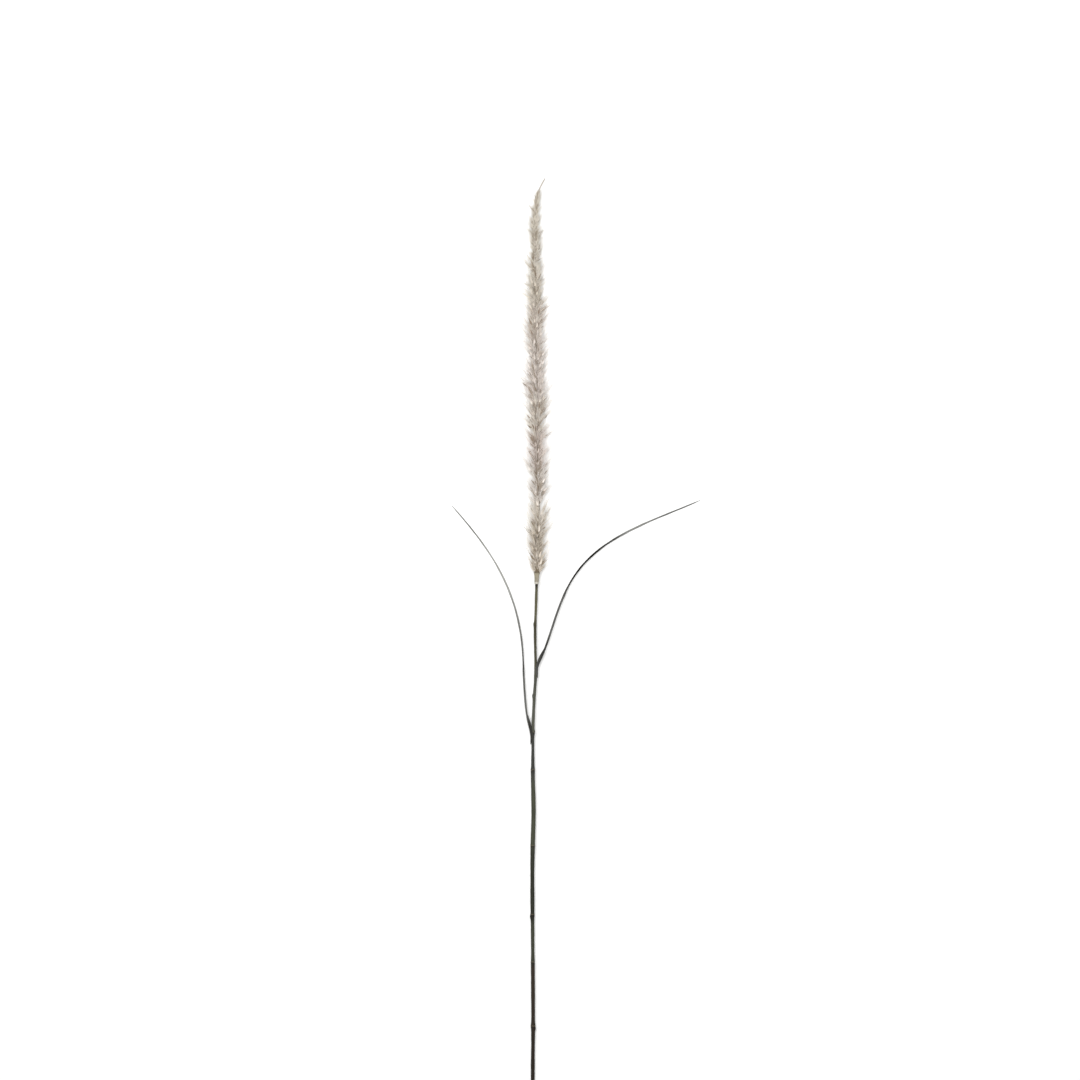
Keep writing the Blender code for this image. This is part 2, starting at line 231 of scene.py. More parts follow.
# How a worn strand's colour is dulled, and the share of its length where its foot's colour ends
WORN_BRISTLE, BRISTLE_FOOT_END = (0.51, 0.44, 0.36), 0.44
WORN_HUSK, HUSK_FOOT_END = (0.30, 0.25, 0.20), 0.4
# Where the lamp hangs, from the middle of the view
LAMP_PLACE = (-0.16, 0.20, 1.65)


def screen(red, green, blue):
    """A colour in 0 to 255 screen values, as the linear numbers that a shader takes."""
    shares = [value / 255 for value in (red, green, blue)]
    return tuple(s / 12.92 if s <= 0.04045 else ((s + 0.055) / 1.055) ** 2.4 for s in shares)


def number_prop(name, description, default, **more):
    """A number on a settings group."""
    return bpy.props.FloatProperty(name=name, description=description, default=default, **more)


def length_prop(name, description, default, low=0.0):
    """A length in metres on a settings group."""
    return number_prop(name, description, default, min=low, unit="LENGTH", precision=5)


def angle_prop(name, description, degrees):
    """An angle on a settings group, given in degrees."""
    return number_prop(name, description, math.radians(degrees), unit="ROTATION")


def share_prop(name, description, default):
    """A plain factor on a settings group."""
    return number_prop(name, description, default, min=0.0, max=1.0, subtype="FACTOR")


def count_prop(name, description, default, low=1):
    """A whole number on a settings group."""
    return bpy.props.IntProperty(name=name, description=description, default=default, min=low)


def colour_prop(name, description, red, green, blue):
    """A colour on a settings group, given in screen values."""
    return bpy.props.FloatVectorProperty(
        name=name,
        description=description,
        default=screen(red, green, blue),
        min=0.0,
        max=1.0,
        size=3,
        subtype="COLOR",
    )


class GrassCulmSettings(bpy.types.PropertyGroup):
    """Sizes and colours of the culm."""

    sides: count_prop("Sides", "Points round the culm", 44, 12)
    step: length_prop("Ring step", "Distance between two rings of points", 0.0012)
    close_step: length_prop("Close step", "The same near a joint or a bud", 0.00028)
    ribs: count_prop("Ribs", "Fine ribs round the culm", 11)
    rib_depth: length_prop("Rib depth", "Height of a rib", 0.000035)
    crease_depth: length_prop("Crease depth", "Depth of the crease under a joint", 0.00016)
    lip_height: length_prop("Lip height", "Height of the lip over a crease", 0.00010)
    cut_slant: share_prop("Cut slant", "Slope of the cut lower end", 0.30)
    lower: colour_prop("Lower colour", "Weathered brown of the lowest part", 41, 34, 26)
    middle: colour_prop("Middle colour", "Dull olive of the middle", 52, 54, 44)
    green: colour_prop("Green colour", "Grey green above the middle", 62, 64, 52)
    slate: colour_prop("Slate colour", "Grey under the lower leaf", 52, 53, 50)
    fork: colour_prop("Fork colour", "Grey green between the leaves", 68, 69, 61)
    upper: colour_prop("Upper colour", "Olive under the plume", 81, 78, 60)
    # Near black of stains, also used for the painted shade under the collar
    stain: colour_prop("Stain colour", "Near black of creases and stains", 26, 23, 19)
    lip: colour_prop("Lip colour", "Paler edge of a joint", 118, 108, 88)
    pith: colour_prop("Pith colour", "Pith in the cut lower end", 178, 158, 122)


class GrassLeafSettings(bpy.types.PropertyGroup):
    """Sizes and colours of the leaves."""

    rings: count_prop("Rings", "Rings of points along a leaf", 380, 60)
    arc_points: count_prop("Arc points", "Points across each face of a leaf", 11, 5)
    veins: count_prop("Veins", "Raised veins across a leaf", 5)
    vein_height: length_prop("Vein height", "Height of a vein", 0.000022)
    midrib_height: length_prop("Midrib height", "Height of the midrib", 0.000060)
    shaded: colour_prop("Shaded colour", "The darkest stretch of a leaf", 29, 28, 24)
    # The palest colour is partly real bleaching, partly painted light on a blade turned to the light
    bleached_and_lit: colour_prop("Bleached colour", "The palest stretch of a leaf", 150, 150, 147)


class GrassCollarSettings(bpy.types.PropertyGroup):
    """Sizes and colours of the collar."""

    sides: count_prop("Sides", "Points round the collar", 72, 12)
    fibres: count_prop("Fibres", "Coarse fibres round the collar", 18)
    fibre_height: length_prop("Fibre height", "Height of a fibre", 0.00005)
    ragged: length_prop("Ragged edge", "How uneven the upper edge is", 0.00045)
    # Painted shade: the colour of the collar's top where the plume shades it
    plume_shade: colour_prop("Crease colour", "The collar's top, in the plume's shade", 112, 103, 86)
    upper: colour_prop("Upper colour", "The collar under the plume", 164, 157, 137)
    lower: colour_prop("Lower colour", "The collar's lower part", 146, 139, 125)
    rim: colour_prop("Rim colour", "The thicker rim at its foot", 190, 186, 175)


class GrassPlumeSettings(bpy.types.PropertyGroup):
    """Sizes and colours of the plume."""

    seed: count_prop("Seed", "Picks one arrangement of the plume", 77)
    tufts: count_prop("Tufts", "Tufts of bristles along the plume", 2600, 20)
    bristles: count_prop("Bristles", "Bristles in a tuft", 14, 4)
    thickness: length_prop("Bristle thickness", "Thickness of a bristle's foot", 0.00018)
    tip_thickness: length_prop("Tip thickness", "Thickness of a bristle near its tip", 0.00009)
    foot_lean: angle_prop("Foot lean", "How far a tuft leans out at its foot", 38)
    base_lean: angle_prop("Base lean", "How much further the lowest tufts lean out", 3)
    tip_lean: angle_prop("Tip lean", "How far a tuft leans out at its tips", 36)
    tuft_width: length_prop("Tuft width", "Width of the widest tuft", 0.0015)
    loose: share_prop("Loose share", "Share of a tuft's bristles that stand away from it", 0.40)
    stray: share_prop("Stray length", "How much longer the longest bristles may be", 0.80)
    reach: bpy.props.FloatVectorProperty(
        name="Reach",
        description="Least and most share of the plume's radius that a tuft reaches",
        default=(0.72, 1.55),
        size=2,
    )
    shortest: length_prop("Shortest tuft", "Length of the shortest tuft", 0.0060)
    longest: length_prop("Longest tuft", "Length of the longest tuft", 0.0260)
    # The inner tufts' dullness is painted shade deep inside the plume
    inner: share_prop("Inner share", "Share of the tufts that are short and dull", 0.50)
    bright: share_prop("Bright share", "Share of the outer tufts that are pale", 0.50)
    worn: share_prop("Worn share", "Share of the dull tufts that are dull to their tips", 0.66)
    sway: share_prop("Sway", "How far tufts lean to one side", 0.36)
    splay: share_prop("Splay", "How far a tuft's loose bristles fan out", 0.30)
    press: share_prop("Press", "How much of its height over the axis the plume has lost", 0.30)
    slender_top: length_prop("Slender top", "Length over which the top draws in", 0.026)
    awn: length_prop("Awn", "Length of the lone bristle at the tip", 0.0085)
    axis_radius: length_prop("Axis radius", "Radius of the plume's axis at its foot", 0.00115)
    spikelet_length: length_prop("Spikelet length", "Length of a spikelet", 0.0076)
    spikelet_width: length_prop("Spikelet width", "Width of one scale of a spikelet", 0.00072)
    spikelet_bright: share_prop("Pale spikelets", "Share of the spikelets that are pale", 0.50)
    spikelet_shown: share_prop("Shown spikelets", "Share of the spikelets that stand clear", 0.8)
    foot: colour_prop("Foot colour", "Bristles where they leave the axis", 149, 130, 106)
    cream: colour_prop("Cream", "Tips of the palest bristles", 250, 247, 242)
    rose: colour_prop("Rose", "Tips of the rosy bristles", 240, 224, 219)
    olive: colour_prop("Olive", "Tips of the greenish bristles", 226, 216, 187)
    husk: colour_prop("Husk", "Pale scales of the spikelets", 250, 245, 238)
    husk_foot: colour_prop("Husk foot", "Dull foot of the scales", 138, 122, 102)
    axis: colour_prop("Axis colour", "The plume's axis", 140, 127, 108)


class GrassStageSettings(bpy.types.PropertyGroup):
    """The camera, floor and light."""

    view_width: length_prop("View width", "Width that the camera takes in", 0.972)
    view_x: length_prop("View X", "Middle of the view", -0.0326, -10.0)
    view_y: length_prop("View Y", "Middle of the view", 0.1741, -10.0)
    lens: number_prop("Lens", "Focal length in millimetres", 135.0, unit="CAMERA")
    floor_width: length_prop("Floor width", "Width of the pale floor", 40.0)
    floor: colour_prop("Floor colour", "The plain pale floor", 250, 250, 249)
    room_light: number_prop("Room light", "Strength of the even white light", 0.48, min=0.0)
    lamp_power: number_prop("Lamp power", "Power of the soft lamp", 27.0, min=0.0, unit="POWER")
    lamp_width: length_prop("Lamp width", "Width of the soft lamp", 1.1)


class GrassSettings(bpy.types.PropertyGroup):
    """All settings of the grass stem."""

    culm: bpy.props.PointerProperty(name="Culm", type=GrassCulmSettings)
    leaf: bpy.props.PointerProperty(name="Leaves", type=GrassLeafSettings)
    collar: bpy.props.PointerProperty(name="Collar", type=GrassCollarSettings)
    plume: bpy.props.PointerProperty(name="Plume", type=GrassPlumeSettings)
    stage: bpy.props.PointerProperty(name="Stage", type=GrassStageSettings)


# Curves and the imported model's axes


def smooth_curve(stations, places):
    """Smooth curves through stations (place, value, ...), with no overshoot, read at places."""
    table = np.array(stations, dtype=float)
    knots, values = table[:, 0], table[:, 1:]
    places = np.clip(np.atleast_1d(np.asarray(places, dtype=float)), knots[0], knots[-1])
    steps = np.diff(knots)[:, None]
    rises = np.diff(values, axis=0) / steps
    before, after = rises[:-1], rises[1:]
    same_way = before * after > 0
    slopes = np.zeros_like(values)
    slopes[1:-1] = np.where(same_way, 2 * before * after, 0) / np.where(same_way, before + after, 1)
    slopes[0], slopes[-1] = rises[0], rises[-1]
    span = np.clip(np.searchsorted(knots, places, side="right") - 1, 0, len(knots) - 2)
    step = steps[span]
    t = (places[:, None] - knots[span][:, None]) / step
    start = values[span] * (1 + 2 * t) * (1 - t) ** 2 + slopes[span] * step * t * (1 - t) ** 2
    end = values[span + 1] * t * t * (3 - 2 * t) + slopes[span + 1] * step * t * t * (t - 1)
    return start + end


def ease(values, start=0.0, end=1.0):
    """0 up to start and 1 from end on, level at both."""
    share = np.clip((np.asarray(values, dtype=float) - start) / (end - start), 0, 1)
    return share * share * (3 - 2 * share)


def bump(values, middle, half_width):
    """A soft bump of height 1 round middle."""
    return np.exp(-(((values - middle) / half_width) ** 2))


def unit(vectors):
    """Vectors of length 1."""
    return vectors / np.linalg.norm(vectors, axis=-1, keepdims=True)


def turned(first, second, angles):
    """Directions at angles round from first towards second."""
    return np.cos(angles)[..., None] * first + np.sin(angles)[..., None] * second


def side_ways(ways):
    """The level directions square to the ways along an axis, and those square to both."""
    across = unit(np.cross(ways, UP))
    return across, np.cross(across, ways)


def packed_points(node):
    """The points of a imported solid."""
    return np.array([vertex.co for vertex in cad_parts[node].data.vertices])


def packed_rings(node, marks=(), clear=0.0, width_share=1.0):
    """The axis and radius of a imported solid, ring by ring, as rows (y, x, z, radius)."""
    points = packed_points(node)
    points = points[np.argsort(points[:, 1])]
    rings = np.split(points, np.flatnonzero(np.diff(points[:, 1]) > RING_GAP) + 1)
    whole = 0.75 * np.median([len(ring) for ring in rings])
    rows = []
    for ring in rings:
        y = ring[:, 1].mean()
        # The middle of a closed end is no ring, and a joint or bud isn't the plain culm
        if len(ring) < whole or any(abs(y - mark) < clear for mark in marks):
            continue
        radius = np.ptp(ring[:, 0]) / 2 / width_share
        middle = (ring[:, 0].max() + ring[:, 0].min()) / 2
        rows.append((y, middle, ring[:, 2].max() - radius, radius))
    if len(rows) < 8:
        raise RuntimeError(f"the packed {node} has only {len(rows)} rings to read its axis from")
    return rows


def culm_rows():
    """The culm's axis and radius without its joints and buds."""
    return packed_rings("stem", CULM_MARKS, CLEAR_OF_MARKS)


def plume_rows():
    """The plume's axis and the reach of its bristles; its packed rings start half a side round."""
    sides = 18
    return packed_rings("plume", width_share=math.cos(math.pi / sides))


def axis_at(rows, places):
    """The axis's points, its directions and the radii at places along Y."""
    places = np.asarray(places, dtype=float)
    values = smooth_curve(rows, places)
    points = np.stack([values[:, 0], places, values[:, 1]], axis=1)
    step = 0.0008
    ahead, behind = smooth_curve(rows, places + step), smooth_curve(rows, places - step)
    ways = np.stack([ahead[:, 0] - behind[:, 0], np.full(len(places), 2 * step)], axis=1)
    ways = np.concatenate([ways, (ahead[:, 1] - behind[:, 1])[:, None]], axis=1)
    return points, unit(ways), values[:, 2]


# Meshes


class Skin:
    """A mesh in the making: points, faces, places on the bake map, and a number per point."""

    def __init__(self, points, quads, triangles, quad_map, triangle_map, marks=None):
        self.points = points
        self.quads = np.asarray(quads, dtype=np.int32).reshape(-1, 4)
        self.triangles = np.asarray(triangles, dtype=np.int32).reshape(-1, 3)
        self.quad_map = np.asarray(quad_map, dtype=float).reshape(-1, 4, 2)
        self.triangle_map = np.asarray(triangle_map, dtype=float).reshape(-1, 3, 2)
        self.marks = marks or {}

    def face_outward(self):
        """Turns every face if the skin is inside out."""
        split = np.concatenate([self.quads[:, :3], self.quads[:, [0, 2, 3]], self.triangles])
        middle = self.points.mean(axis=0)
        a, b, c = (self.points[split[:, i]] - middle for i in range(3))
        if np.einsum("ij,ij->i", a, np.cross(b, c)).sum() < 0:
            self.quads, self.quad_map = self.quads[:, ::-1], self.quad_map[:, ::-1]
            self.triangles = self.triangles[:, ::-1]
            self.triangle_map = self.triangle_map[:, ::-1]

    def make(self, name, material, sharp=None):
        """The object, linked into the scene."""
        self.face_outward()
        mesh = bpy.data.meshes.new(name)
        corners = np.concatenate([self.quads.ravel(), self.triangles.ravel()])
        first = self.quads.size
        starts = np.concatenate([np.arange(0, first, 4), np.arange(first, len(corners), 3)])
        mesh.vertices.add(len(self.points))
        mesh.vertices.foreach_set("co", self.points.astype(np.float32).ravel())
        mesh.loops.add(len(corners))
        mesh.loops.foreach_set("vertex_index", corners.astype(np.int32))
        mesh.polygons.add(len(starts))
        mesh.polygons.foreach_set("loop_start", starts.astype(np.int32))
        mesh.update(calc_edges=True)
        places = np.concatenate([self.quad_map.reshape(-1, 2), self.triangle_map.reshape(-1, 2)])
        layer = mesh.uv_layers.new(name=BAKE_MAP)
        layer.data.foreach_set("uv", places.astype(np.float32).ravel())
        for mark, values in self.marks.items():
            attribute = mesh.attributes.new(mark, "FLOAT", "POINT")
            attribute.data.foreach_set("value", np.asarray(values, dtype=np.float32).ravel())
        if mesh.validate():
            raise RuntimeError(f"the mesh of {name} had faults")
        mesh.shade_smooth()
        if sharp is not None:
            mesh.set_sharp_from_angle(angle=sharp)
        mesh.materials.append(material)
        return add_object(name, mesh)


def add_object(name, data):
    """An object with its data, linked into the scene."""
    made = bpy.data.objects.new(name, data)
    bpy.context.scene.collection.objects.link(made)
    return made


def strip_map(rows, sides, strips):
    """Places on the bake map for a grid of rows by sides, cut into strips side by side."""
    row = np.arange(rows - 1)
    strip = np.minimum(row * strips // (rows - 1), strips - 1)
    first = np.array([np.argmax(strip == s) for s in range(strips)] + [rows - 1])
    length = (first[strip + 1] - first[strip]).astype(float)
    low, high = (row - first[strip]) / length, (row + 1 - first[strip]) / length
    margin = 0.006
    around = margin + np.arange(sides + 1) / sides * (1 - 2 * margin * strips)
    left, right = around[:-1], around[1:]
    u0 = (strip[:, None] + left[None, :]) / strips
    u1 = (strip[:, None] + right[None, :]) / strips
    v0 = np.broadcast_to(margin + low[:, None] * (1 - 2 * margin), u0.shape)
    v1 = np.broadcast_to(margin + high[:, None] * (1 - 2 * margin), u0.shape)
    corners = [(u0, v0), (u1, v0), (u1, v1), (u0, v1)]
    return np.stack([np.stack(corner, axis=-1) for corner in corners], axis=2)


def ring_quads(rows, sides, wrapped=False):
    """Faces between rings of points, and from the last ring to the first if they are wrapped."""
    row, here = np.arange(rows if wrapped else rows - 1)[:, None], np.arange(sides)[None, :]
    after, above = (here + 1) % sides, (row + 1) % rows
    corners = [row * sides + here, row * sides + after, above * sides + after, above * sides + here]
    return np.stack(corners, axis=-1)


def wrapped_grid(points, strips, marks):
    """A skin over a grid of points that closes on itself both ways, like a ring."""
    rows, sides = points.shape[:2]
    places = strip_map(rows + 1, sides, strips)
    marks = {mark: np.asarray(values).ravel() for mark, values in marks.items()}
    return Skin(points.reshape(-1, 3), ring_quads(rows, sides, True), [], places, [], marks)


def shut_tube(rings, strips, marks=None):
    """A closed skin over rings of points (rings, sides, 3), with a point in the middle of each end."""
    count, sides = rings.shape[:2]
    points = np.concatenate([rings.reshape(-1, 3), [rings[0].mean(axis=0), rings[-1].mean(axis=0)]])
    grid = strip_map(count, sides, strips)
    side = np.arange(sides)
    beyond = (side + 1) % sides
    start = np.stack([beyond, side, np.full(sides, count * sides)], axis=1)
    top = (count - 1) * sides
    end = np.stack([top + side, top + beyond, np.full(sides, count * sides + 1)], axis=1)
    ends = []
    for edge in (grid[0, :, :2], grid[-1, :, 2:]):
        middle = edge.reshape(-1, 2).mean(axis=0)
        middle = middle + np.array([0.0, CAP_MAP_HEIGHT if edge[0, 0, 1] > 0.5 else -CAP_MAP_HEIGHT])
        tip = np.broadcast_to(middle, (sides, 1, 2))
        ends.append(np.concatenate([edge[:, ::-1], tip], axis=1))
    whole = {}
    for mark, values in (marks or {}).items():
        values = np.asarray(values, dtype=float).reshape(count, -1)
        values = np.broadcast_to(values, (count, sides))
        whole[mark] = np.append(values, [values[0].mean(), values[-1].mean()])
    quads = ring_quads(count, sides)
    return Skin(points, quads, np.concatenate([start, end]), grid, np.concatenate(ends), whole)


def round_angles(sides):
    """The angles of points spread evenly round a ring."""
    return 2 * math.pi * np.arange(sides) / sides


def shrunk(ring, share):
    """A ring drawn in towards its middle."""
    middle = ring.mean(axis=0)
    return middle + (ring - middle) * share


def ring_points(centres, ways, radii, angles):
    """Points round an axis, at radii (rings, sides) and angles, which start at the level side."""
    across, up = side_ways(ways)
    return centres[:, None] + radii[..., None] * turned(across[:, None], up[:, None], angles)


def strands(paths, radii, tint, share, sides, map_width):
    """Many thin pointed strands as one skin.

    paths holds each strand's points (strands, points, 3), the last one its tip, and radii the
    radius at each of the others. tint is each strand's place across the bake map, and share
    each point's place along it.
    """
    count, knots = paths.shape[:2]
    ways = unit(np.gradient(paths, axis=1))[:, :-1]
    mean = unit(paths[:, -1] - paths[:, 0])
    # Square to each strand, and worked out from its direction alone
    aside = np.cross(mean, np.roll(mean, 1, axis=1) * np.array([1.0, -1.0, 1.0]) + 0.31)
    across = unit(np.cross(ways, unit(aside)[:, None]))
    up = np.cross(across, ways)
    reach = turned(across[:, :, None], up[:, :, None], round_angles(sides))
    rings = paths[:, :-1, None] + reach * radii[:, :, None, None]
    stride = (knots - 1) * sides + 1
    points = np.concatenate([rings.reshape(count, -1, 3), paths[:, -1:]], axis=1).reshape(-1, 3)
    faces = [(0, j + 1, j) for j in range(1, sides - 1)]
    caps = len(faces)
    for k in range(knots - 2):
        for j in range(sides):
            a, b = k * sides + j, k * sides + (j + 1) % sides
            faces += [(a, b, b + sides), (a, b + sides, a + sides)]
    last = (knots - 2) * sides
    faces += [(last + j, last + (j + 1) % sides, stride - 1) for j in range(sides)]
    faces = np.array(faces)
    triangles = (np.arange(count)[:, None, None] * stride + faces).reshape(-1, 3)
    offsets = np.append(np.tile(np.arange(sides) - (sides - 1) / 2, knots - 1), 0.0) * map_width
    along = np.append(np.repeat(share[:-1], sides), share[-1])
    u = tint[:, None] + offsets[faces].reshape(-1)[None, :]
    v = along[faces]
    v[:caps] = share[0] + np.array([0, 1, 2]) * CAP_MAP_HEIGHT
    v = np.broadcast_to(v.reshape(-1)[None, :], u.shape)
    places = np.stack([np.clip(u, 0.001, 0.999), 0.01 + 0.98 * v], axis=-1)
    marks = {"tint": np.repeat(tint, stride), "share": np.tile(along, count)}
    return Skin(points, [], triangles, [], places, marks)


# Materials


class Wire:
    """A value inside a material: sums with it add Math nodes."""

    def __init__(self, recipe, socket):
        self.recipe = recipe
        self.socket = socket

    def output(self, name):
        """Another output of the node that this value comes from."""
        return Wire(self.recipe, self.socket.node.outputs[name])

    def maths(self, operation, *values):
        """A Math node on values."""
        return self.recipe.node("ShaderNodeMath", {"operation": operation}, dict(enumerate(values)))

    def __add__(self, other):
        return self.maths("ADD", self, other)

    def __sub__(self, other):
        return self.maths("SUBTRACT", self, other)

    def __rsub__(self, other):
        return self.maths("SUBTRACT", other, self)

    def __mul__(self, other):
        return self.maths("MULTIPLY", self, other)

    def __truediv__(self, other):
        return self.maths("DIVIDE", self, other)

    def __rtruediv__(self, other):
        return self.maths("DIVIDE", other, self)

    __radd__ = __add__
    __rmul__ = __mul__

    def fraction(self):
        """What is left after the point."""
        return self.maths("FRACT", self)

    def magnitude(self):
        """The value without its sign."""
        return self.maths("ABSOLUTE", self)

    def limited(self):
        """The value kept between 0 and 1."""
        settings = {"operation": "ADD", "use_clamp": True}
        return self.recipe.node("ShaderNodeMath", settings, {0: self, 1: 0.0})

    def rise(self, start, end):
        """0 up to start and 1 from end on, level at both."""
        settings = {"interpolation_type": "SMOOTHSTEP"}
        inputs = {"Value": self, "From Min": start, "From Max": end}
        return self.recipe.node("ShaderNodeMapRange", settings, inputs)


class Recipe:
    """A material built node by node."""

    def __init__(self, name):
        self.material = bpy.data.materials.new(name)
        self.material.use_nodes = True
        self.tree = self.material.node_tree
        self.tree.nodes.clear()

    def node(self, kind, settings=None, inputs=None):
        """Adds a node: its settings first, then each socket's value or link."""
        made = self.tree.nodes.new(kind)
        for name, value in (settings or {}).items():
            if name == "stops":
                self.set_stops(made.color_ramp, value)
            else:
                setattr(made, name, value)
        for key, value in (inputs or {}).items():
            if isinstance(value, Wire):
                self.tree.links.new(value.socket, made.inputs[key])
            elif hasattr(value, "__len__") and len(value) == 3 and made.inputs[key].type == "RGBA":
                made.inputs[key].default_value = (*value, 1.0)
            else:
                made.inputs[key].default_value = value
        shown = [socket for socket in made.outputs if socket.enabled]
        return Wire(self, shown[0]) if shown else made

    def set_stops(self, ramp, stops):
        """Gives a colour ramp its stops (place, colour)."""
        while len(ramp.elements) > 1:
            ramp.elements.remove(ramp.elements[0])
        for i, (place, colour) in enumerate(stops):
            element = ramp.elements[0] if i == 0 else ramp.elements.new(place)
            element.position = place
            element.color = (*colour, 1.0)

    def ramp(self, value, stops):
        """A colour that follows a value between stops."""
        return self.node("ShaderNodeValToRGB", {"stops": stops}, {"Fac": value})

    def mix(self, share, first, second, way="MIX"):
        """Two colours mixed."""
        settings = {"data_type": "RGBA", "blend_type": way, "clamp_factor": True}
        return self.node("ShaderNodeMix", settings, {0: share, 6: first, 7: second})

    def scaled(self, colour, factors):
        """A colour with each of its channels multiplied."""
        return self.mix(1.0, colour, factors, "MULTIPLY")

    def mark(self, name):
        """A number that the mesh carries at each point."""
        return self.node("ShaderNodeAttribute", {"attribute_name": name}).output("Fac")

    def place(self):
        """The point's own coordinates in metres."""
        return self.node("ShaderNodeTexCoord").output("Object")

    def lengthwise(self):
        """The point's own Y, along the stem."""
        return self.node("ShaderNodeSeparateXYZ", {}, {0: self.place()}).output("Y")

    def noise(self, across, along, detail=3.0, roughness=0.6):
        """Soft noise, mostly 0.3 to 0.7, with this many grains to the metre across and along."""
        stretch = {0: self.place(), 1: (across, along, across)}
        place = self.node("ShaderNodeVectorMath", {"operation": "MULTIPLY"}, stretch)
        inputs = {"Vector": place, "Scale": 1.0, "Detail": detail, "Roughness": roughness}
        return self.node("ShaderNodeTexNoise", {}, inputs)

    def bumped(self, height, distance, strength):
        """A surface direction bumped by a height between 0 and 1, distance in metres."""
        inputs = {"Height": height, "Distance": distance, "Strength": strength}
        return self.node("ShaderNodeBump", {}, inputs)

    def surface(self, colour, roughness, gloss, normal=None):
        """Ends the recipe with a Principled shader and gives the material."""
        inputs = {"Base Color": colour, "Roughness": roughness, "Specular IOR Level": gloss}
        if normal is not None:
            inputs["Normal"] = normal
        shader = self.node("ShaderNodeBsdfPrincipled", {}, inputs)
        self.node("ShaderNodeOutputMaterial", {}, {"Surface": shader})
        return self.material


def culm_material(settings):
    """Dry culm: dull olive above, weathered brown below, streaked and stained at its joints, with
    painted shade under the collar.
    """
    recipe = Recipe("dry_culm")
    low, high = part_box("stem")
    span = high.y - low.y
    stops = []
    for place, name, brightness in CULM_TONES:
        colour = [channel * brightness for channel in getattr(settings, name)]
        stops.append(((place - low.y) / span, colour))
    colour = recipe.ramp((recipe.lengthwise() - low.y) / span, stops)
    streaks = recipe.noise(2600, 90, 4.0)
    fine = recipe.noise(7000, 260)
    patches = recipe.noise(110, 34, 2.0, 0.5)
    pith_grain = recipe.noise(4200, 4200, 2.0, 0.5).rise(0.42, 0.62)
    cut = recipe.mark("pith")
    colour = recipe.mix(streaks.rise(0.34, 0.66) * 0.5, colour, recipe.scaled(colour, (1.7, 1.7, 1.62)))
    colour = recipe.mix(fine.rise(0.5, 0.75) * 0.35, colour, settings.stain)
    colour = recipe.mix(patches.rise(0.45, 0.7) * 0.35, colour, settings.stain)
    colour = recipe.mix(recipe.mark("lip") * 0.75, colour, settings.lip)
    # Stains at joints, buds and one flank, and painted shade under the collar
    colour = recipe.mix(recipe.mark("stain").limited(), colour, settings.stain)
    dull_pith = recipe.mix(0.5, settings.pith, settings.lower)
    colour = recipe.mix(cut, colour, recipe.mix(pith_grain * 0.6, settings.pith, dull_pith))
    roughness = (0.5 + 0.3 * fine + 0.25 * cut).limited()
    normal = recipe.bumped(streaks * 0.6 + fine * 0.4, 0.00012, 0.7)
    return recipe.surface(colour, roughness, 0.16, normal)


def leaf_material(name, settings, tones):
    """Dry leaf: veined, dull, with paler margins, and pale in stretches: partly real bleaching, partly
    painted light where the blade turns to the light.
    """
    recipe = Recipe(name)
    along, across = recipe.mark("along"), recipe.mark("across")
    shaded, bleached_and_lit = np.array(settings.shaded), np.array(settings.bleached_and_lit)
    # How pale each stretch is: partly real bleaching, partly painted light where the blade turns to the
    # light
    stops = [(place, shaded + (bleached_and_lit - shaded) * share) for place, share in tones]
    colour = recipe.ramp(along, stops)
    grain = recipe.noise(1300, 1300)
    patches = recipe.noise(95, 95)
    veins = (across * 8.0 + grain * 0.35).fraction()
    vein_line = veins.rise(0.0, 0.25) * (1.0 - veins.rise(0.7, 1.0))
    edge = (across * 2.0 - 1.0).magnitude().rise(0.72, 1.0)
    dark = recipe.scaled(colour, (0.55, 0.54, 0.5))
    pale = recipe.scaled(colour, (1.5, 1.49, 1.46))
    colour = recipe.mix(patches.rise(0.42, 0.66) * 0.5, colour, dark)
    colour = recipe.mix(vein_line * 0.3, colour, pale)
    colour = recipe.mix(edge * 0.45, colour, pale)
    normal = recipe.bumped(vein_line * 0.6 + grain * 0.4, 0.00006, 0.7)
    return recipe.surface(colour, (0.45 + 0.35 * grain).limited(), 0.12, normal)


def collar_material(settings):
    """Papery collar: beige fibres, with a paler rim at its foot and painted shade of the plume at its
    top.
    """
    recipe = Recipe("papery_collar")
    stops = [(0.0, settings.rim), (0.13, settings.rim), (0.20, settings.lower)]
    # The last stop is painted shade of the plume over the collar's top
    stops += [(0.86, settings.upper), (0.99, settings.plume_shade)]
    colour = recipe.ramp(recipe.mark("along"), stops)
    fibres = recipe.noise(5200, 300)
    patches = recipe.noise(420, 200, 2.0, 0.5)
    dark = recipe.scaled(colour, (0.56, 0.53, 0.47))
    colour = recipe.mix(fibres.rise(0.45, 0.68) * 0.6, colour, dark)
    colour = recipe.mix(patches.rise(0.45, 0.7) * 0.45, colour, dark)
    normal = recipe.bumped(fibres, 0.0001, 0.8)
    return recipe.surface(colour, (0.6 + 0.3 * fibres).limited(), 0.3, normal)


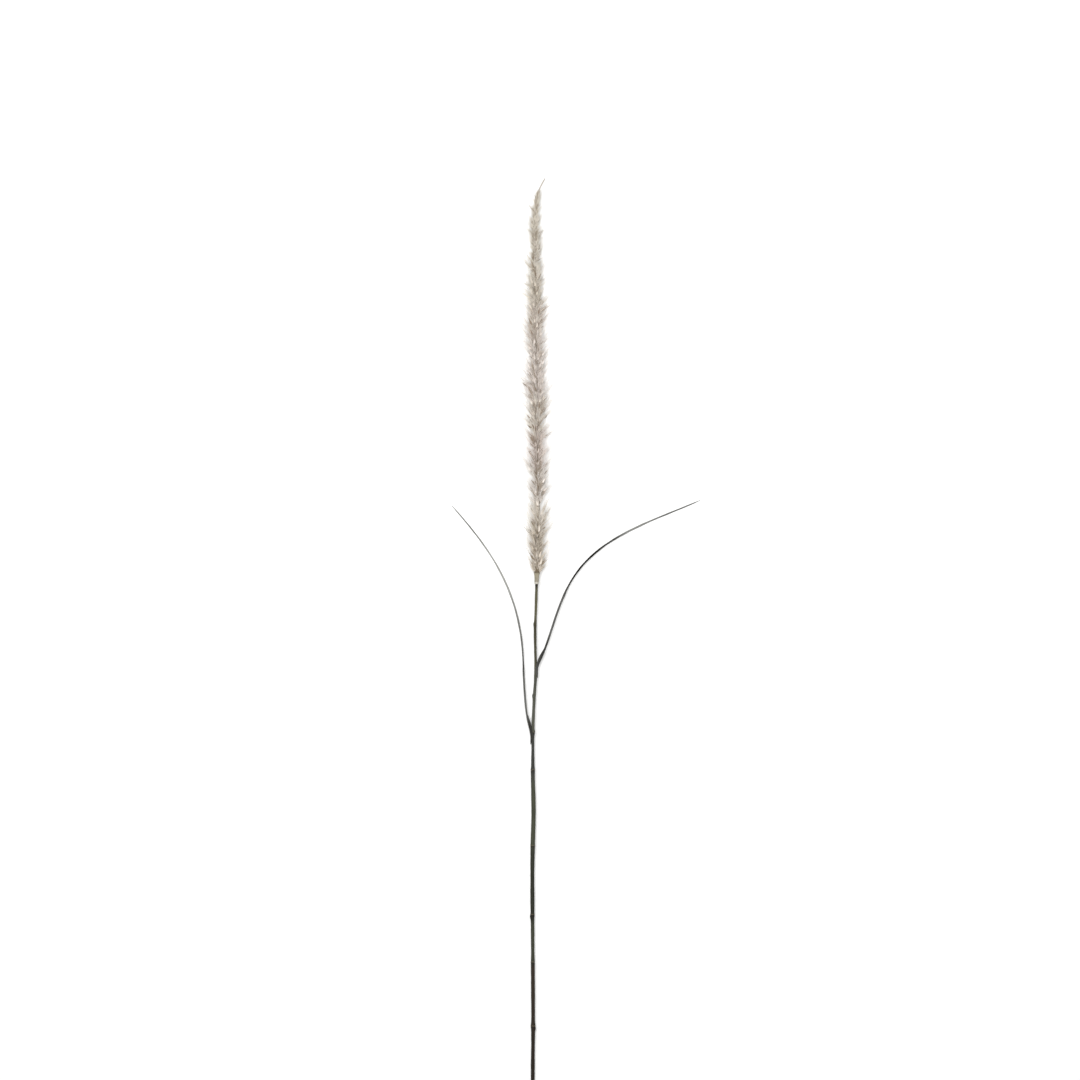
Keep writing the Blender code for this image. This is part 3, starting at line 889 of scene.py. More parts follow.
def strand_material(name, settings, foot, pale, worn, foot_end):
    """Dry strands: dull at the foot, partly their own colour and partly painted depth shade, and pale
    at the tip, tinted by where they grow.
    """
    recipe = Recipe(name)
    tint, share = recipe.mark("tint"), recipe.mark("share")
    tone = (tint * PLUME_ZONES).fraction()
    tone_again = (tone * 5.0).fraction()
    greys = [[(row[0], (row[column],) * 3) for row in PLUME_TINTS] for column in (1, 2, 3)]
    rosy, green, dusky = (recipe.ramp(tint, stops) for stops in greys)
    tip = recipe.mix(rosy * (0.45 + 0.55 * tone_again), pale, settings.rose)
    tip = recipe.mix(green * (0.75 - 0.55 * tone_again), tip, settings.olive)
    fresh_share = share.rise(0.10, 0.75) * tone.rise(0.22, 0.42)
    fresh = recipe.scaled(tip, (0.90, 0.88, 0.85))
    dull = recipe.mix(fresh_share, recipe.scaled(tip, worn), fresh)
    tip = recipe.mix(tone.rise(0.15, 0.80), dull, tip)
    # Darker towards the foot: partly the strands' own brown base, partly painted shade deep in the tuft
    colour = recipe.mix(share.rise(0.02, foot_end), foot, tip)
    colour = recipe.mix(dusky, colour, recipe.scaled(colour, (0.72, 0.68, 0.60)))
    return recipe.surface(colour, (0.5 + 0.2 * tone_again).limited(), 0.3)


def axis_material(settings):
    """The plume's axis: downy and streaked, dark at its foot and paler towards the awn."""
    recipe = Recipe("plume_axis")
    low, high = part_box("plume")
    y = recipe.lengthwise()
    streaks = recipe.noise(4200, 420)
    dark = recipe.scaled(settings.axis, (0.5, 0.47, 0.42))
    colour = recipe.mix(streaks.rise(0.4, 0.66), settings.axis, dark)
    colour = recipe.mix(1.0 - (y - low.y).rise(0.0, 0.006), colour, dark)
    colour = recipe.mix(0.3 * (y - high.y).rise(-0.013, -0.008), colour, settings.husk)
    normal = recipe.bumped(streaks, 0.0001, 0.8)
    return recipe.surface(colour, (0.6 + 0.3 * streaks).limited(), 0.3, normal)


def floor_material(colour):
    """The plain pale floor."""
    recipe = Recipe("pale_floor")
    grain = recipe.noise(3.0, 3.0, 2.0, 0.5)
    return recipe.surface(tuple(colour), (0.85 + 0.1 * grain).limited(), 0.1)


# Shapes of the culm, the leaves and the collar


def culm_stations(settings):
    """The y of each ring of the culm: even steps, and closer ones at joints and buds."""
    low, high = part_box("stem")
    even = np.arange(low.y + CULM_BODY_START, high.y - CULM_BODY_END, settings.step)
    close = [np.arange(y - CLOSE_REACH, y + CLOSE_REACH, settings.close_step) for y in CULM_MARKS]
    near = np.min([np.abs(even - y) for y in CULM_MARKS], axis=0) < CLOSE_REACH
    stations = np.sort(np.concatenate([even[~near]] + close))
    return stations[np.concatenate([[True], np.diff(stations) > settings.close_step * 0.5])]


def culm_relief(settings, y, angle, rng):
    """What the culm's joints, buds and ribs add to its radius, its stains and painted shade, and its
    pale lips.
    """
    added = np.zeros(np.broadcast(y, angle).shape)
    stain, lip = added.copy(), added.copy()
    # Each joint swells, with a crease on an uneven line round it and a pale lip above that
    for node_y, swelling, half_length in CULM_NODES:
        turn, lean = rng.uniform(0, 2 * math.pi), rng.uniform(0.00012, 0.00034)
        line = node_y + lean * np.sin(angle + turn) + 0.00012 * np.sin(3 * angle + 2 * turn)
        added += swelling / 2 * bump(y, node_y, half_length)
        added -= settings.crease_depth * bump(y, line - 0.00042, 0.00026)
        added += settings.lip_height * bump(y, line + 0.00020, 0.00034)
        stain += 0.95 * bump(y, line - 0.00042, 0.00040) + 0.35 * bump(y, line - 0.0016, 0.0016)
        lip += 0.9 * bump(y, line + 0.00030, 0.00036)
    # Each bud fades slowly below and fast above
    for bud_y, height, side in CULM_BUDS:
        facing = np.maximum(side * np.cos(angle), 0) ** 4
        shape = bump(y, bud_y, np.where(y < bud_y, 0.0026, 0.0013)) * facing
        added += height * shape
        stain += 0.7 * bump(y, bud_y + 0.0012, 0.0007) * facing + 0.35 * shape
    # Ribs that wind slowly, and a culm that is nowhere quite round or even
    coarse = np.cos(settings.ribs * angle + 18.0 * y)
    ribs = coarse + 0.5 * np.cos((2 * settings.ribs + 3) * angle - 31.0 * y)
    added += settings.rib_depth * ribs / 1.5
    wave = 0.00004 * np.sin(210 * y + 1.3) + 0.00003 * np.sin(523 * y + 0.4)
    added += wave + 0.00004 * np.sin(2 * angle + 160 * y)
    # A darker stretch on one flank above the fourth joint, and painted shade on the culm under the
    # collar
    stain += 0.6 * bump(y, -0.146, 0.017) * np.maximum(np.cos(angle - 0.2), 0) ** 2
    stain += 0.9 * bump(y, 0.1332, 0.0022)
    return added, np.clip(stain, 0, 1), np.clip(lip, 0, 1)


def culm_cut(settings, lowest, angle, low_y):
    """Rings of the culm's slanted cut end, from the middle of its face outwards, and the cut's y."""
    cut_y = low_y + settings.cut_slant * (lowest[:, 0] - lowest[:, 0].min())
    rings = []
    for share, sunk in CUT_FACE:
        ring = shrunk(lowest, share)
        lean = cut_y.mean() + (cut_y - cut_y.mean()) * share
        ring[:, 1] = lean + sunk + 0.00004 * np.sin(5 * angle + 40 * share)
        rings.append(ring)
    shoulder = lowest.copy()
    shoulder[:, 1] = cut_y + 0.00012
    return rings + [shoulder], cut_y


def culm_skin(settings):
    """The culm from its slanted cut end to its rounded top inside the collar."""
    low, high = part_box("stem")
    body = culm_stations(settings)
    centres, ways, radii = axis_at(culm_rows(), body)
    angle = round_angles(settings.sides)
    rng = np.random.default_rng(CULM_SEED)
    added, stain, lip = culm_relief(settings, body[:, None], angle, rng)
    rings = ring_points(centres, ways, radii[:, None] + added, angle)
    cut, cut_y = culm_cut(settings, rings[0], angle, low.y)
    # The first two rings make way for the slanted cut
    rings[:2, :, 1] = np.maximum(rings[:2, :, 1], cut_y + np.array([[0.0004], [0.0009]]))
    top = []
    for share, rise in CULM_TOP:
        ring = shrunk(rings[-1], share)
        ring[:, 1] = np.minimum(rings[-1, :, 1] + rise, high.y)
        top.append(ring)
    rings = np.concatenate([cut, rings, top])
    stain, lip = (np.pad(mark, ((len(cut), len(top)), (0, 0)), "edge") for mark in (stain, lip))
    pith = np.zeros((len(rings), 1))
    # The cut's face is pith, and its edge is a little stained
    stain[: len(cut)] = lip[: len(cut)] = 0.0
    stain[PITH_RINGS : len(cut)] = 0.25
    pith[:PITH_RINGS] = 1.0
    pith[PITH_RINGS] = 0.3
    return shut_tube(rings, LONG_STRIPS, {"stain": stain, "lip": lip, "pith": pith})


def bezier(knots, steps):
    """Points along a Bezier line with knots (handle in, knot, handle out)."""
    t = np.linspace(0, 1, steps, endpoint=False)[:, None]
    line = []
    for (_, start, leave), (arrive, end, _) in zip(knots, knots[1:]):
        a, b, c, d = (np.array(corner) for corner in (start, leave, arrive, end))
        line.append(a * (1 - t) ** 3 + 3 * b * t * (1 - t) ** 2 + 3 * c * t * t * (1 - t) + d * t**3)
    return np.concatenate(line + [np.array([knots[-1][1]])])


def leaf_line(leaf, shares, rows):
    """A leaf's keel at shares of its length: along the culm, then out and down to the floor."""
    start_y, leave_y = leaf["clasp"]
    feet = smooth_curve(rows, [start_y, leave_y])[:, 0] + leaf["side"] * LEAF_SECTIONS[0][2]
    start, leave = (feet[0], start_y), (feet[1], leave_y)
    away = (leave[0], leave_y + LEAVING_HANDLE)
    flat = bezier([(start, start, leave), (start, leave, away)] + leaf["keel"], 200)
    walked = np.concatenate([[0], np.cumsum(np.linalg.norm(np.diff(flat, axis=0), axis=1))])
    x, y = (np.interp(shares * walked[-1], walked, flat[:, i]) for i in range(2))
    down = ease(shares, *LEAF_DROP)
    z = smooth_curve(rows, y)[:, 1] * (1 - down) + LEAF_SECTIONS[-1][3] / 2 * down
    return np.stack([x, y, z], axis=1)


def leaf_section(settings, shares, radius, thickness):
    """A leaf's section at each ring: the reach of its points and their places across, -1 to 1."""
    arc = np.linspace(-1, 1, settings.arc_points)
    half = thickness[:, None] / 2 * (1 - 0.5 * np.abs(arc) ** 3)
    veins = settings.vein_height * np.cos(math.pi * settings.veins * arc)
    midrib = settings.midrib_height * bump(arc, 0, 0.16)
    fade = (1 - 0.6 * ease(shares, 0.6, 1.0))[:, None]
    outer = radius[:, None] + half + (veins + midrib) * fade
    inner = radius[:, None] - half + veins * fade * 0.6
    return np.concatenate([outer, inner[:, ::-1]], axis=1), np.concatenate([arc, arc[::-1]])


def leaf_skin(settings, leaf):
    """One leaf: a veined gutter that clasps the culm, leaves it, twists and comes down."""
    rng = np.random.default_rng(leaf["seed"])
    side, count = leaf["side"], settings.rings
    # Three rings in ten are close together, where the leaf leaves the culm
    close = count * 3 // 10
    shares = np.linspace(0, LEAF_CLOSE_END, close)
    shares = np.append(shares, np.linspace(LEAF_CLOSE_END, 1, count - close + 1)[1:])
    line = leaf_line(leaf, shares, culm_rows())
    opening, radius, thickness, twist = smooth_curve(LEAF_SECTIONS, shares).T
    # The blade is slimmer than the clasp, and a little wavy
    slim = ease(shares, LEAF_CLASP_END, 2 * LEAF_CLASP_END)
    blade = ease(shares, 0.12, 0.3)
    phases = rng.uniform(0, 2 * math.pi, 4)
    sway = sum(np.sin(f * shares * 2 * math.pi + p) for f, p in zip((2.3, 5.1, 9.7, 17.0), phases))
    radius = radius * (1 - (1 - leaf["slimness"]) * slim) * (1 + 0.03 * blade * sway)
    opening = opening * (1 + 0.05 * blade * np.roll(sway, 7))
    turn = -side * np.radians(twist + 4.0 * blade * sway)
    ways = unit(np.gradient(line, shares, axis=0))
    level = unit(np.cross(ways, UP)) * side
    outward = turned(level, np.cross(ways, level), turn)
    across = np.cross(outward, ways)
    centre = line - outward * radius[:, None]
    reach, places = leaf_section(settings, shares, radius, thickness)
    spread = np.radians(opening)[:, None] * places
    rings = centre[:, None] + reach[..., None] * turned(outward[:, None], across[:, None], spread)
    # Brings the leaf's lowest point onto the floor, by more towards its tip
    rings[..., 2] -= rings[..., 2].min() * ease(shares / LEAF_DROP[1])[:, None]
    rings[..., 2] = np.maximum(rings[..., 2], 0.00002)
    marks = {"along": shares, "across": np.broadcast_to(places / 2 + 0.5, rings.shape[:2])}
    return shut_tube(rings, LONG_STRIPS, marks)


def packed_collar():
    """The collar's two ends, its outer radii there, and its bore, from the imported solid."""
    low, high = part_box("collar")
    inset = 0.00006
    ends, _, _ = axis_at(culm_rows(), [low.y + inset, high.y - inset])
    start, end = ends
    way = (end - start) / np.linalg.norm(end - start)
    inward = packed_points("collar") - start
    height = inward @ way
    reach = np.linalg.norm(inward - height[:, None] * way, axis=1)
    length = height.max()
    foot = reach[(height < 0.3 * length)].max()
    head = reach[(height > 0.7 * length)].max()
    return start, end, foot - COLLAR_RIM, head, reach.min()


def collar_skin(settings):
    """The collar: a fibrous sleeve that widens upwards, with a thick rim and a ragged top."""
    rng = np.random.default_rng(COLLAR_SEED)
    start, end, low_radius, high_radius, bore = packed_collar()
    length = np.linalg.norm(end - start)
    way = (end - start) / length
    outside = np.linspace(0, 1, COLLAR_OUTSIDE_RINGS)
    inside = np.linspace(1, 0, COLLAR_INSIDE_RINGS)
    radius = low_radius + (high_radius - low_radius) * smooth_curve(COLLAR_FLARE, outside)[:, 0]
    # A rim near the foot, and rounded edges at both ends
    radius += COLLAR_RIM / 2 * bump(outside, 0.09, 0.07)
    radius[0] -= 0.00012
    radius[-1] -= 0.0001
    radius = np.append(radius, np.full(COLLAR_INSIDE_RINGS, bore))
    height = np.append(outside * length, inside * (length - 0.0002) + 0.0001)[:, None]
    angle = round_angles(settings.sides)
    edge = sum(np.sin(f * angle + rng.uniform(0, 6.3)) * a for f, a in COLLAR_EDGE)
    fibres = np.cos(settings.fibres * angle + 3 * height / length)
    fibres = fibres + 0.6 * np.cos((2 * settings.fibres + 5) * angle)
    fibres[COLLAR_OUTSIDE_RINGS:] = 0.0
    height = height + ease(height / length, 0.7, 1.0) * settings.ragged * (edge - 1.0)
    radii = radius[:, None] + settings.fibre_height * fibres * 0.6
    points = start + height[..., None] * way + radii[..., None] * turned(*side_ways(way), angle)
    along = np.clip(height / length, 0, 1)
    return wrapped_grid(points, SHORT_STRIPS, {"along": along})


# Shapes of the plume


def axis_girth(settings, share):
    """The radius of the plume's axis at shares of its length."""
    stations = [(0, 0.0024), (0.014, 0.0021), (0.04, settings.axis_radius), (0.6, 0.00075)]
    stations += [(0.93, 0.00046), (0.968, 0.00050), (0.988, 0.00054), (1, 0.00034)]
    return smooth_curve(stations, share)[:, 0]


def axis_skin(settings):
    """The plume's axis, from inside the collar to the long bristle at the tip."""
    low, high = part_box("plume")
    places = np.linspace(low.y - 0.0010, high.y - 0.0002, AXIS_RINGS)
    centres, ways, _ = axis_at(plume_rows(), places)
    share = (places - places[0]) / (places[-1] - places[0])
    angle = round_angles(AXIS_SIDES)
    smooth = (1 - ease(share, 0.9, 0.96))[:, None]
    ribs = 1 + 0.10 * np.cos(5 * angle + 40 * share[:, None]) * smooth
    rings = ring_points(centres, ways, axis_girth(settings, share)[:, None] * ribs, angle)
    return shut_tube(rings, SHORT_STRIPS)


def tuft_feet(count, rng, rows, low, high):
    """The y of each tuft's foot: they crowd where the plume is slim and at its lower end."""
    fine = np.linspace(low - 0.0004, high - 0.0050, 2000)
    reach = smooth_curve(rows, fine)[:, 2]
    crowding = 1 / (0.75 + 0.25 * reach / reach.max())
    crowding = np.cumsum(crowding * (1.8 - 0.8 * ease(fine, low, low + 0.010)))
    order = (np.arange(count) + 0.5 + rng.uniform(-0.4, 0.4, count)) / count
    return np.interp(order, crowding / crowding[-1], fine)


def tuft_leans(settings, rng, foot_y, outward, low, taper):
    """How far each tuft leans out at its foot and its tip and sways aside, and how unruly it is."""
    count = len(foot_y)
    unruly, upright = 0.45 + 0.55 * ease(foot_y, low, low + 0.030), np.ones(count)
    # Near a bare spot tufts are calm, and just below it they stand steeper too
    for y, _, side in BARE_SPOTS:
        calm = 1 - ease(np.abs(foot_y - y), *CALM_REACH)
        calm = calm * (outward[:, 0] * side > -0.3)
        unruly, upright = unruly * (1 - calm), upright * (1 - 0.32 * calm * (foot_y < y))
    sway = rng.normal(0, settings.sway, count) * taper * unruly * (1 + 0.2 * np.abs(outward[:, 2]))
    foot_noise, tip_noise = (np.radians(rng.normal(0, size, count)) * unruly for size in LEAN_NOISE)
    spread = settings.base_lean * (1 - ease(foot_y, low, low + 0.016))
    foot_lean = (settings.foot_lean + spread + foot_noise) * taper * upright
    tip_lean = (settings.tip_lean + tip_noise) * taper * upright
    return foot_lean, tip_lean, sway, unruly


def tuft_reach(settings, rng, foot_y, outward, outer):
    """How far out each tuft should reach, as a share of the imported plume's radius."""
    count = len(foot_y)
    least, most = settings.reach
    draw = (np.arange(count) * GOLDEN_TURN / math.pi + rng.uniform(0, 0.35, count)) % 1
    share = np.where(outer, least + (most - least) * draw**1.4, rng.uniform(*INNER_REACH, count))
    sides = smooth_curve(PLUME_SIDES, foot_y + TUFT_RISE) - 1
    left, right = np.maximum(-outward[:, 0], 0), np.maximum(outward[:, 0], 0)
    return share * (1 + sides[:, 0] * left + sides[:, 1] * right)


def tuft_tones(rng, facing, worn, bright):
    """The tone of each tuft, from its kind, with painted light: fewer tufts stay dark to their tips at
    the sides and over the axis, and dull tufts are paler at the sides.
    """
    count = len(facing)
    # Painted light: tufts at the sides and over the axis are less often dark to their tips
    worn = worn & (rng.uniform(0, 1, count) > 0.85 * np.maximum(facing, 0.8 - 3 * facing))
    tones = [rng.uniform(*ends, count) for ends in (WORN_TONES, DULL_TONES, PALE_TONES)]
    # Painted light: dull tufts are paler towards the plume's sides
    return np.where(bright, tones[2], np.where(worn, tones[0], tones[1] + 0.12 * facing))


def tuft_table(settings, rng):
    """Where each tuft stands on the plume's axis, how it leaves it, and its tone."""
    count = settings.tufts
    rows = plume_rows()
    low, end = rows[0][0], rows[-1][0]
    high = end - settings.awn
    foot_y = tuft_feet(count, rng, rows, low, high)
    place = (foot_y - low) / (end - low)
    turn = np.arange(count) * GOLDEN_TURN + rng.normal(0, 0.35, count)
    outer = rng.uniform(0, 1, count) > settings.inner
    # Inner tufts are pale half as often as outer ones: painted shade deep inside the plume
    bright = rng.uniform(0, 1, count) < np.where(outer, settings.bright, 0.5 * settings.bright)
    worn = rng.uniform(0, 1, count) < settings.worn
    points, ways, _ = axis_at(rows, foot_y)
    outward = turned(*side_ways(ways), turn)
    facing = np.abs(outward[:, 0])
    taper = np.clip((high - foot_y) / settings.slender_top, 0.16, 1.0) ** 0.8
    foot_lean, tip_lean, sway, unruly = tuft_leans(settings, rng, foot_y, outward, low, taper)

    # How long each tuft is: up to its reach, with room below the plume's top
    stand = axis_girth(settings, place)
    reach = tuft_reach(settings, rng, foot_y, outward, outer)
    goal = smooth_curve(rows, foot_y + TUFT_RISE * taper)[:, 2] * reach
    mean_lean = 0.5 * (foot_lean + tip_lean)
    length = np.clip((goal - stand) / np.sin(mean_lean), settings.shortest, settings.longest)
    room = (high - foot_y) * rng.uniform(0.45, 1.0, count)
    length = np.minimum(length, room / np.cos(mean_lean))
    for y, half_length, side in BARE_SPOTS:
        bare = (np.abs(foot_y - y) < half_length) & (outward[:, 0] * side > 0.1)
        length = np.where(bare, STUNTED_LENGTH, length)

    # A few tufts, each the nearest to its place that shows, are made to stand out
    tone = tuft_tones(rng, facing, worn, bright)
    for y, side, lean, size, shade in STANDING_OUT:
        off = np.abs(foot_y - y) + 0.01 * np.abs(outward[:, 0] - side) ** 0.5
        hidden = (outward[:, 2] < -0.4) | ((shade > 1) & ~outer)
        nearest = np.argmin(off + 0.01 * hidden)
        foot_lean[nearest] = tip_lean[nearest] = math.radians(lean)
        length[nearest], tone[nearest], sway[nearest] = size, shade, 0.0
    neat = ease(foot_y, *NEATER)
    return {
        "foot": points + outward * stand[:, None],
        "way": ways,
        "outward": outward,
        "aside": np.cross(ways, outward),
        "foot_lean": foot_lean,
        "tip_lean": tip_lean,
        "length": length,
        "sway": sway,
        "splay": settings.splay * unruly * taper * (0.4 + 0.6 * facing),
        "stray": settings.stray * taper * (1 - 0.6 * neat),
        "shown": (1 - ease(facing, 0.20, 0.45)) * (1 - neat),
        "size": np.clip(length / settings.longest, 0.30, 1.0),
        "share": np.clip(place, 0, 1),
        "tone": tone,
        "outer": outer,
    }


def tuft_ways(tufts):
    """The directions in which each tuft leaves the axis and ends."""
    ways = []
    for lean in (tufts["foot_lean"], tufts["tip_lean"]):
        way = turned(tufts["way"], tufts["outward"], lean)
        ways.append(unit(way + tufts["sway"][:, None] * tufts["aside"]))
    return ways


def laid_on_floor(points, height, press):
    """The plume's points sunk a little over its axis, and kept above the floor by a height."""
    middle = plume_rows()[0][2]
    points[..., 2] -= press * np.maximum(points[..., 2] - middle, 0)
    soft = 0.00030
    points[..., 2] = height + soft * np.logaddexp(0, (points[..., 2] - height) / soft)
    return points


def map_place(share, tone):
    """A strand's place across the bake map: its zone along the plume, then its tone."""
    zone = np.minimum(np.floor(share * PLUME_ZONES), PLUME_ZONES - 1)
    return (zone + 0.08 + 0.84 * np.clip(tone, 0, 1)) / PLUME_ZONES


def bristle_paths(settings, tufts, rng):
    """The points of every bristle (tufts, bristles, points, 3), shortest first in each tuft."""
    count, each = settings.tufts, settings.bristles
    start, end = (way[:, None] for way in tuft_ways(tufts))
    # Each bristle's turn round its tuft, how far it is off the middle, and its length
    turn = rng.uniform(0, 2 * math.pi, (count, each))
    off = np.sqrt(rng.uniform(0, 1, (count, each)))
    loose = rng.uniform(0, 1, (count, each)) < settings.loose
    rank = np.sort(rng.uniform(0, 1, (count, each)), axis=1)
    length = tufts["length"][:, None] * (0.42 + 0.58 * rank**1.2) * (1 - 0.15 * off**2)
    length[:, -STRAYS:] *= 1 + tufts["stray"][:, None] * rng.uniform(0, 1, (count, STRAYS)) ** 1.5
    loose[:, -STRAYS:] |= rng.uniform(0, 1, (count, STRAYS)) < 0.5
    # It bends from the tuft's first direction to its last, and fans out more if it is loose
    tuft_aside = tufts["aside"][:, None]
    aside = off[..., None] * turned(tuft_aside, np.cross(start, tuft_aside), turn)
    splay = (tufts["splay"][:, None] * np.where(loose, 1.0, 0.3))[..., None] * aside
    start, end = unit(start + 0.5 * splay), unit(end + splay)
    foot = tufts["foot"][:, None] + aside * 0.00012 - start * 0.0006
    knee = foot + start * (0.5 * length)[..., None]
    tip = knee + end * (0.5 * length)[..., None]
    t = np.array(BRISTLE_KNOTS)
    bend = zip((foot, knee, tip), ((1 - t) ** 2, 2 * t * (1 - t), t * t))
    paths = sum(corner[:, :, None] * weight[:, None] for corner, weight in bend)
    # The tuft widens from its foot, and no bristle is quite smooth
    swell = 0.25 + 0.75 * t**0.8
    width = settings.tuft_width / 2 * tufts["size"][:, None, None] * swell
    paths = paths + aside[:, :, None] * width[..., None]
    wobble = rng.normal(0, 0.00016, (count, each, 1, 3)) * np.sin(math.pi * t)[:, None]
    return laid_on_floor(paths + wobble, 0.00010, settings.press)


def bristle_skins(settings):
    """The plume's bristles, as four skins from the shortest bristles of each tuft to the longest."""
    rng = np.random.default_rng(settings.seed)
    tufts = tuft_table(settings, rng)
    count, each = settings.tufts, settings.bristles
    paths = bristle_paths(settings, tufts, rng)
    thickness = np.array(BRISTLE_TAPER) * settings.thickness / 2
    thickness = np.maximum(thickness, settings.tip_thickness / 2)
    radii = thickness * rng.uniform(0.75, 1.2, (count, each, 1))
    tone = tufts["tone"][:, None] + rng.normal(0, 0.05, (count, each))
    tint = map_place(tufts["share"][:, None], tone)
    parts = len(BRISTLE_NAMES)
    skins = []
    for part in range(parts):
        first, last = part * each // parts, (part + 1) * each // parts
        picked = [values[:, first:last] for values in (paths, radii, tint)]
        picked = [values.reshape(-1, *values.shape[2:]) for values in picked]
        skins.append(strands(*picked, BRISTLE_KNOTS, BRISTLE_SIDES, BRISTLE_MAP_WIDTH))
    return skins


def spikelet_skin(settings):
    """Spikelets of three pointed scales, at the foot of each outer tuft or part-way up it."""
    tufts = tuft_table(settings, np.random.default_rng(settings.seed))
    outer = tufts["outer"]
    tufts = {name: values[outer] for name, values in tufts.items()}
    rng = np.random.default_rng(settings.seed + 1)
    count, scales = int(outer.sum()), 3
    start, end = tuft_ways(tufts)
    # A spikelet's scales stand round its middle, and bend as the tuft does
    large = tufts["tone"] > 1
    size = np.where(large, LARGE_SPIKELET, tufts["size"] * rng.uniform(0.85, 1.15, count))
    turn = rng.uniform(0, 2 * math.pi, (count, 1)) + round_angles(scales)
    off = turned(tufts["aside"][:, None], np.cross(start, tufts["aside"])[:, None], turn)
    t = np.array(SPIKELET_KNOTS)
    length = np.minimum(settings.spikelet_length * size, np.where(large, 0.8, 0.5) * tufts["length"])
    length = length[:, None] * rng.uniform(0.8, 1.08, (count, scales))
    bend = 0.35 * t * t
    line = start[:, None, None] * (t - bend)[:, None] + end[:, None, None] * bend[:, None]
    bulge = 0.00034 * np.sin(math.pi * t**0.8) + 0.00012
    # Those that show stand part-way up their tufts, and the rest near the foot
    shown = large | (rng.uniform(0, 1, count) < settings.spikelet_shown * tufts["shown"])
    raised = np.where(large, 0.36, np.where(shown, 0.50, 0.16))
    foot = tufts["foot"] + start * (raised * tufts["length"])[:, None]
    paths = foot[:, None, None] + line * length[..., None, None]
    paths = paths + off[:, :, None] * (bulge[:, None] * size[:, None, None, None])
    paths = laid_on_floor(paths, 0.00040, settings.press).reshape(-1, len(t), 3)
    radii = np.array(SPIKELET_GIRTHS) * settings.spikelet_width / 2
    radii = radii * np.repeat(size, scales)[:, None]
    pale = large | (rng.uniform(0, 1, count) < settings.spikelet_bright)
    tone = np.where(pale, PALE_SCALE, DARK_SCALE)[:, None] + rng.normal(0, 0.10, (count, scales))
    tint = map_place(tufts["share"][:, None], tone).ravel()
    return strands(paths, radii, tint, t, SPIKELET_SIDES, SPIKELET_MAP_WIDTH)


# The stage


def make_floor(settings):
    """The plain floor that the stem lies on."""
    half = settings.floor_width / 2
    mesh = bpy.data.meshes.new("floor")
    corners = [(-half, -half, 0), (half, -half, 0), (half, half, 0), (-half, half, 0)]
    mesh.from_pydata(corners, [], [(0, 1, 2, 3)])
    mesh.materials.append(floor_material(settings.floor))
    floor = add_object("floor", mesh)


def make_light(settings):
    """Even white light all round, and a soft lamp overhead."""
    world = bpy.data.worlds.new("room")
    world.use_nodes = True
    background = world.node_tree.nodes["Background"]
    background.inputs["Color"].default_value = (1.0, 1.0, 1.0, 1.0)
    background.inputs["Strength"].default_value = settings.room_light
    bpy.context.scene.world = world
    data = bpy.data.lights.new("soft_lamp", "AREA")
    data.shape = "DISK"
    data.size = settings.lamp_width
    data.energy = settings.lamp_power
    lamp = add_object("soft_lamp", data)
    middle = Vector((settings.view_x, settings.view_y, 0))
    aside, along, height = LAMP_PLACE
    lamp.location = (settings.view_x + aside, settings.view_y + along, height)
    lamp.rotation_euler = (middle - lamp.location).to_track_quat("-Z", "Y").to_euler()


def make_camera(settings):
    """The camera that looks straight down on the stem."""
    data = bpy.data.cameras.new("camera")
    data.lens = settings.lens
    data.sensor_width = 36.0
    data.clip_end = 100.0
    camera = add_object("camera", data)
    distance = settings.view_width / 2 / (data.sensor_width / 2 / settings.lens)
    middle_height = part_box("plume")[1].z / 2
    camera.location = (settings.view_x, settings.view_y, distance + middle_height)
    bpy.context.scene.camera = camera
    bpy.context.scene.view_settings.view_transform = "Standard"


# Operators


def dress(skin, name, material, node, sharp=None):
    """Makes a piece from its skin: it rides on the body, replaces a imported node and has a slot."""
    piece = skin.make(name, material, sharp)
    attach(piece, "root")
    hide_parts(node)


class GRASS_OT_culm(bpy.types.Operator):
    """Makes the jointed culm with its bud scars and slanted cut end."""

    bl_idname = "grass.culm"
    bl_label = "Make the culm"

    def execute(self, context):
        settings = context.scene.grass.culm
        dress(culm_skin(settings), "culm", culm_material(settings), "stem", CULM_SHARP)
        return {"FINISHED"}


class GRASS_OT_leaves(bpy.types.Operator):
    """Makes the two leaves, each a sheath and a long narrow blade."""

    bl_idname = "grass.leaves"
    bl_label = "Make the leaves"

    def execute(self, context):
        settings = context.scene.grass.leaf
        for side, leaf in (("left", LEFT_LEAF), ("right", RIGHT_LEAF)):
            material = leaf_material(f"dry_leaf_{side}", settings, leaf["tones"])
            skin = leaf_skin(settings, leaf)
            dress(skin, f"leaf_blade_{side}", material, f"leaf_{side}", THIN_SHARP)
        return {"FINISHED"}


class GRASS_OT_collar(bpy.types.Operator):
    """Makes the papery collar under the plume."""

    bl_idname = "grass.collar"
    bl_label = "Make the collar"

    def execute(self, context):
        settings = context.scene.grass.collar
        skin, material = collar_skin(settings), collar_material(settings)
        dress(skin, "collar_sleeve", material, "collar", THIN_SHARP)
        return {"FINISHED"}


class GRASS_OT_plume_axis(bpy.types.Operator):
    """Makes the plume's axis with the long bristle at its tip."""

    bl_idname = "grass.plume_axis"
    bl_label = "Make the plume's axis"

    def execute(self, context):
        settings = context.scene.grass.plume
        dress(axis_skin(settings), "plume_axis", axis_material(settings), "plume")
        return {"FINISHED"}


class GRASS_OT_spikelets(bpy.types.Operator):
    """Makes the spikelets of the plume's outer tufts."""

    bl_idname = "grass.spikelets"
    bl_label = "Make the spikelets"

    def execute(self, context):
        settings = context.scene.grass.plume
        foot, pale = settings.husk_foot, settings.husk
        material = strand_material("spikelet_husk", settings, foot, pale, WORN_HUSK, HUSK_FOOT_END)
        dress(spikelet_skin(settings), "plume_spikelets", material, "plume")
        return {"FINISHED"}


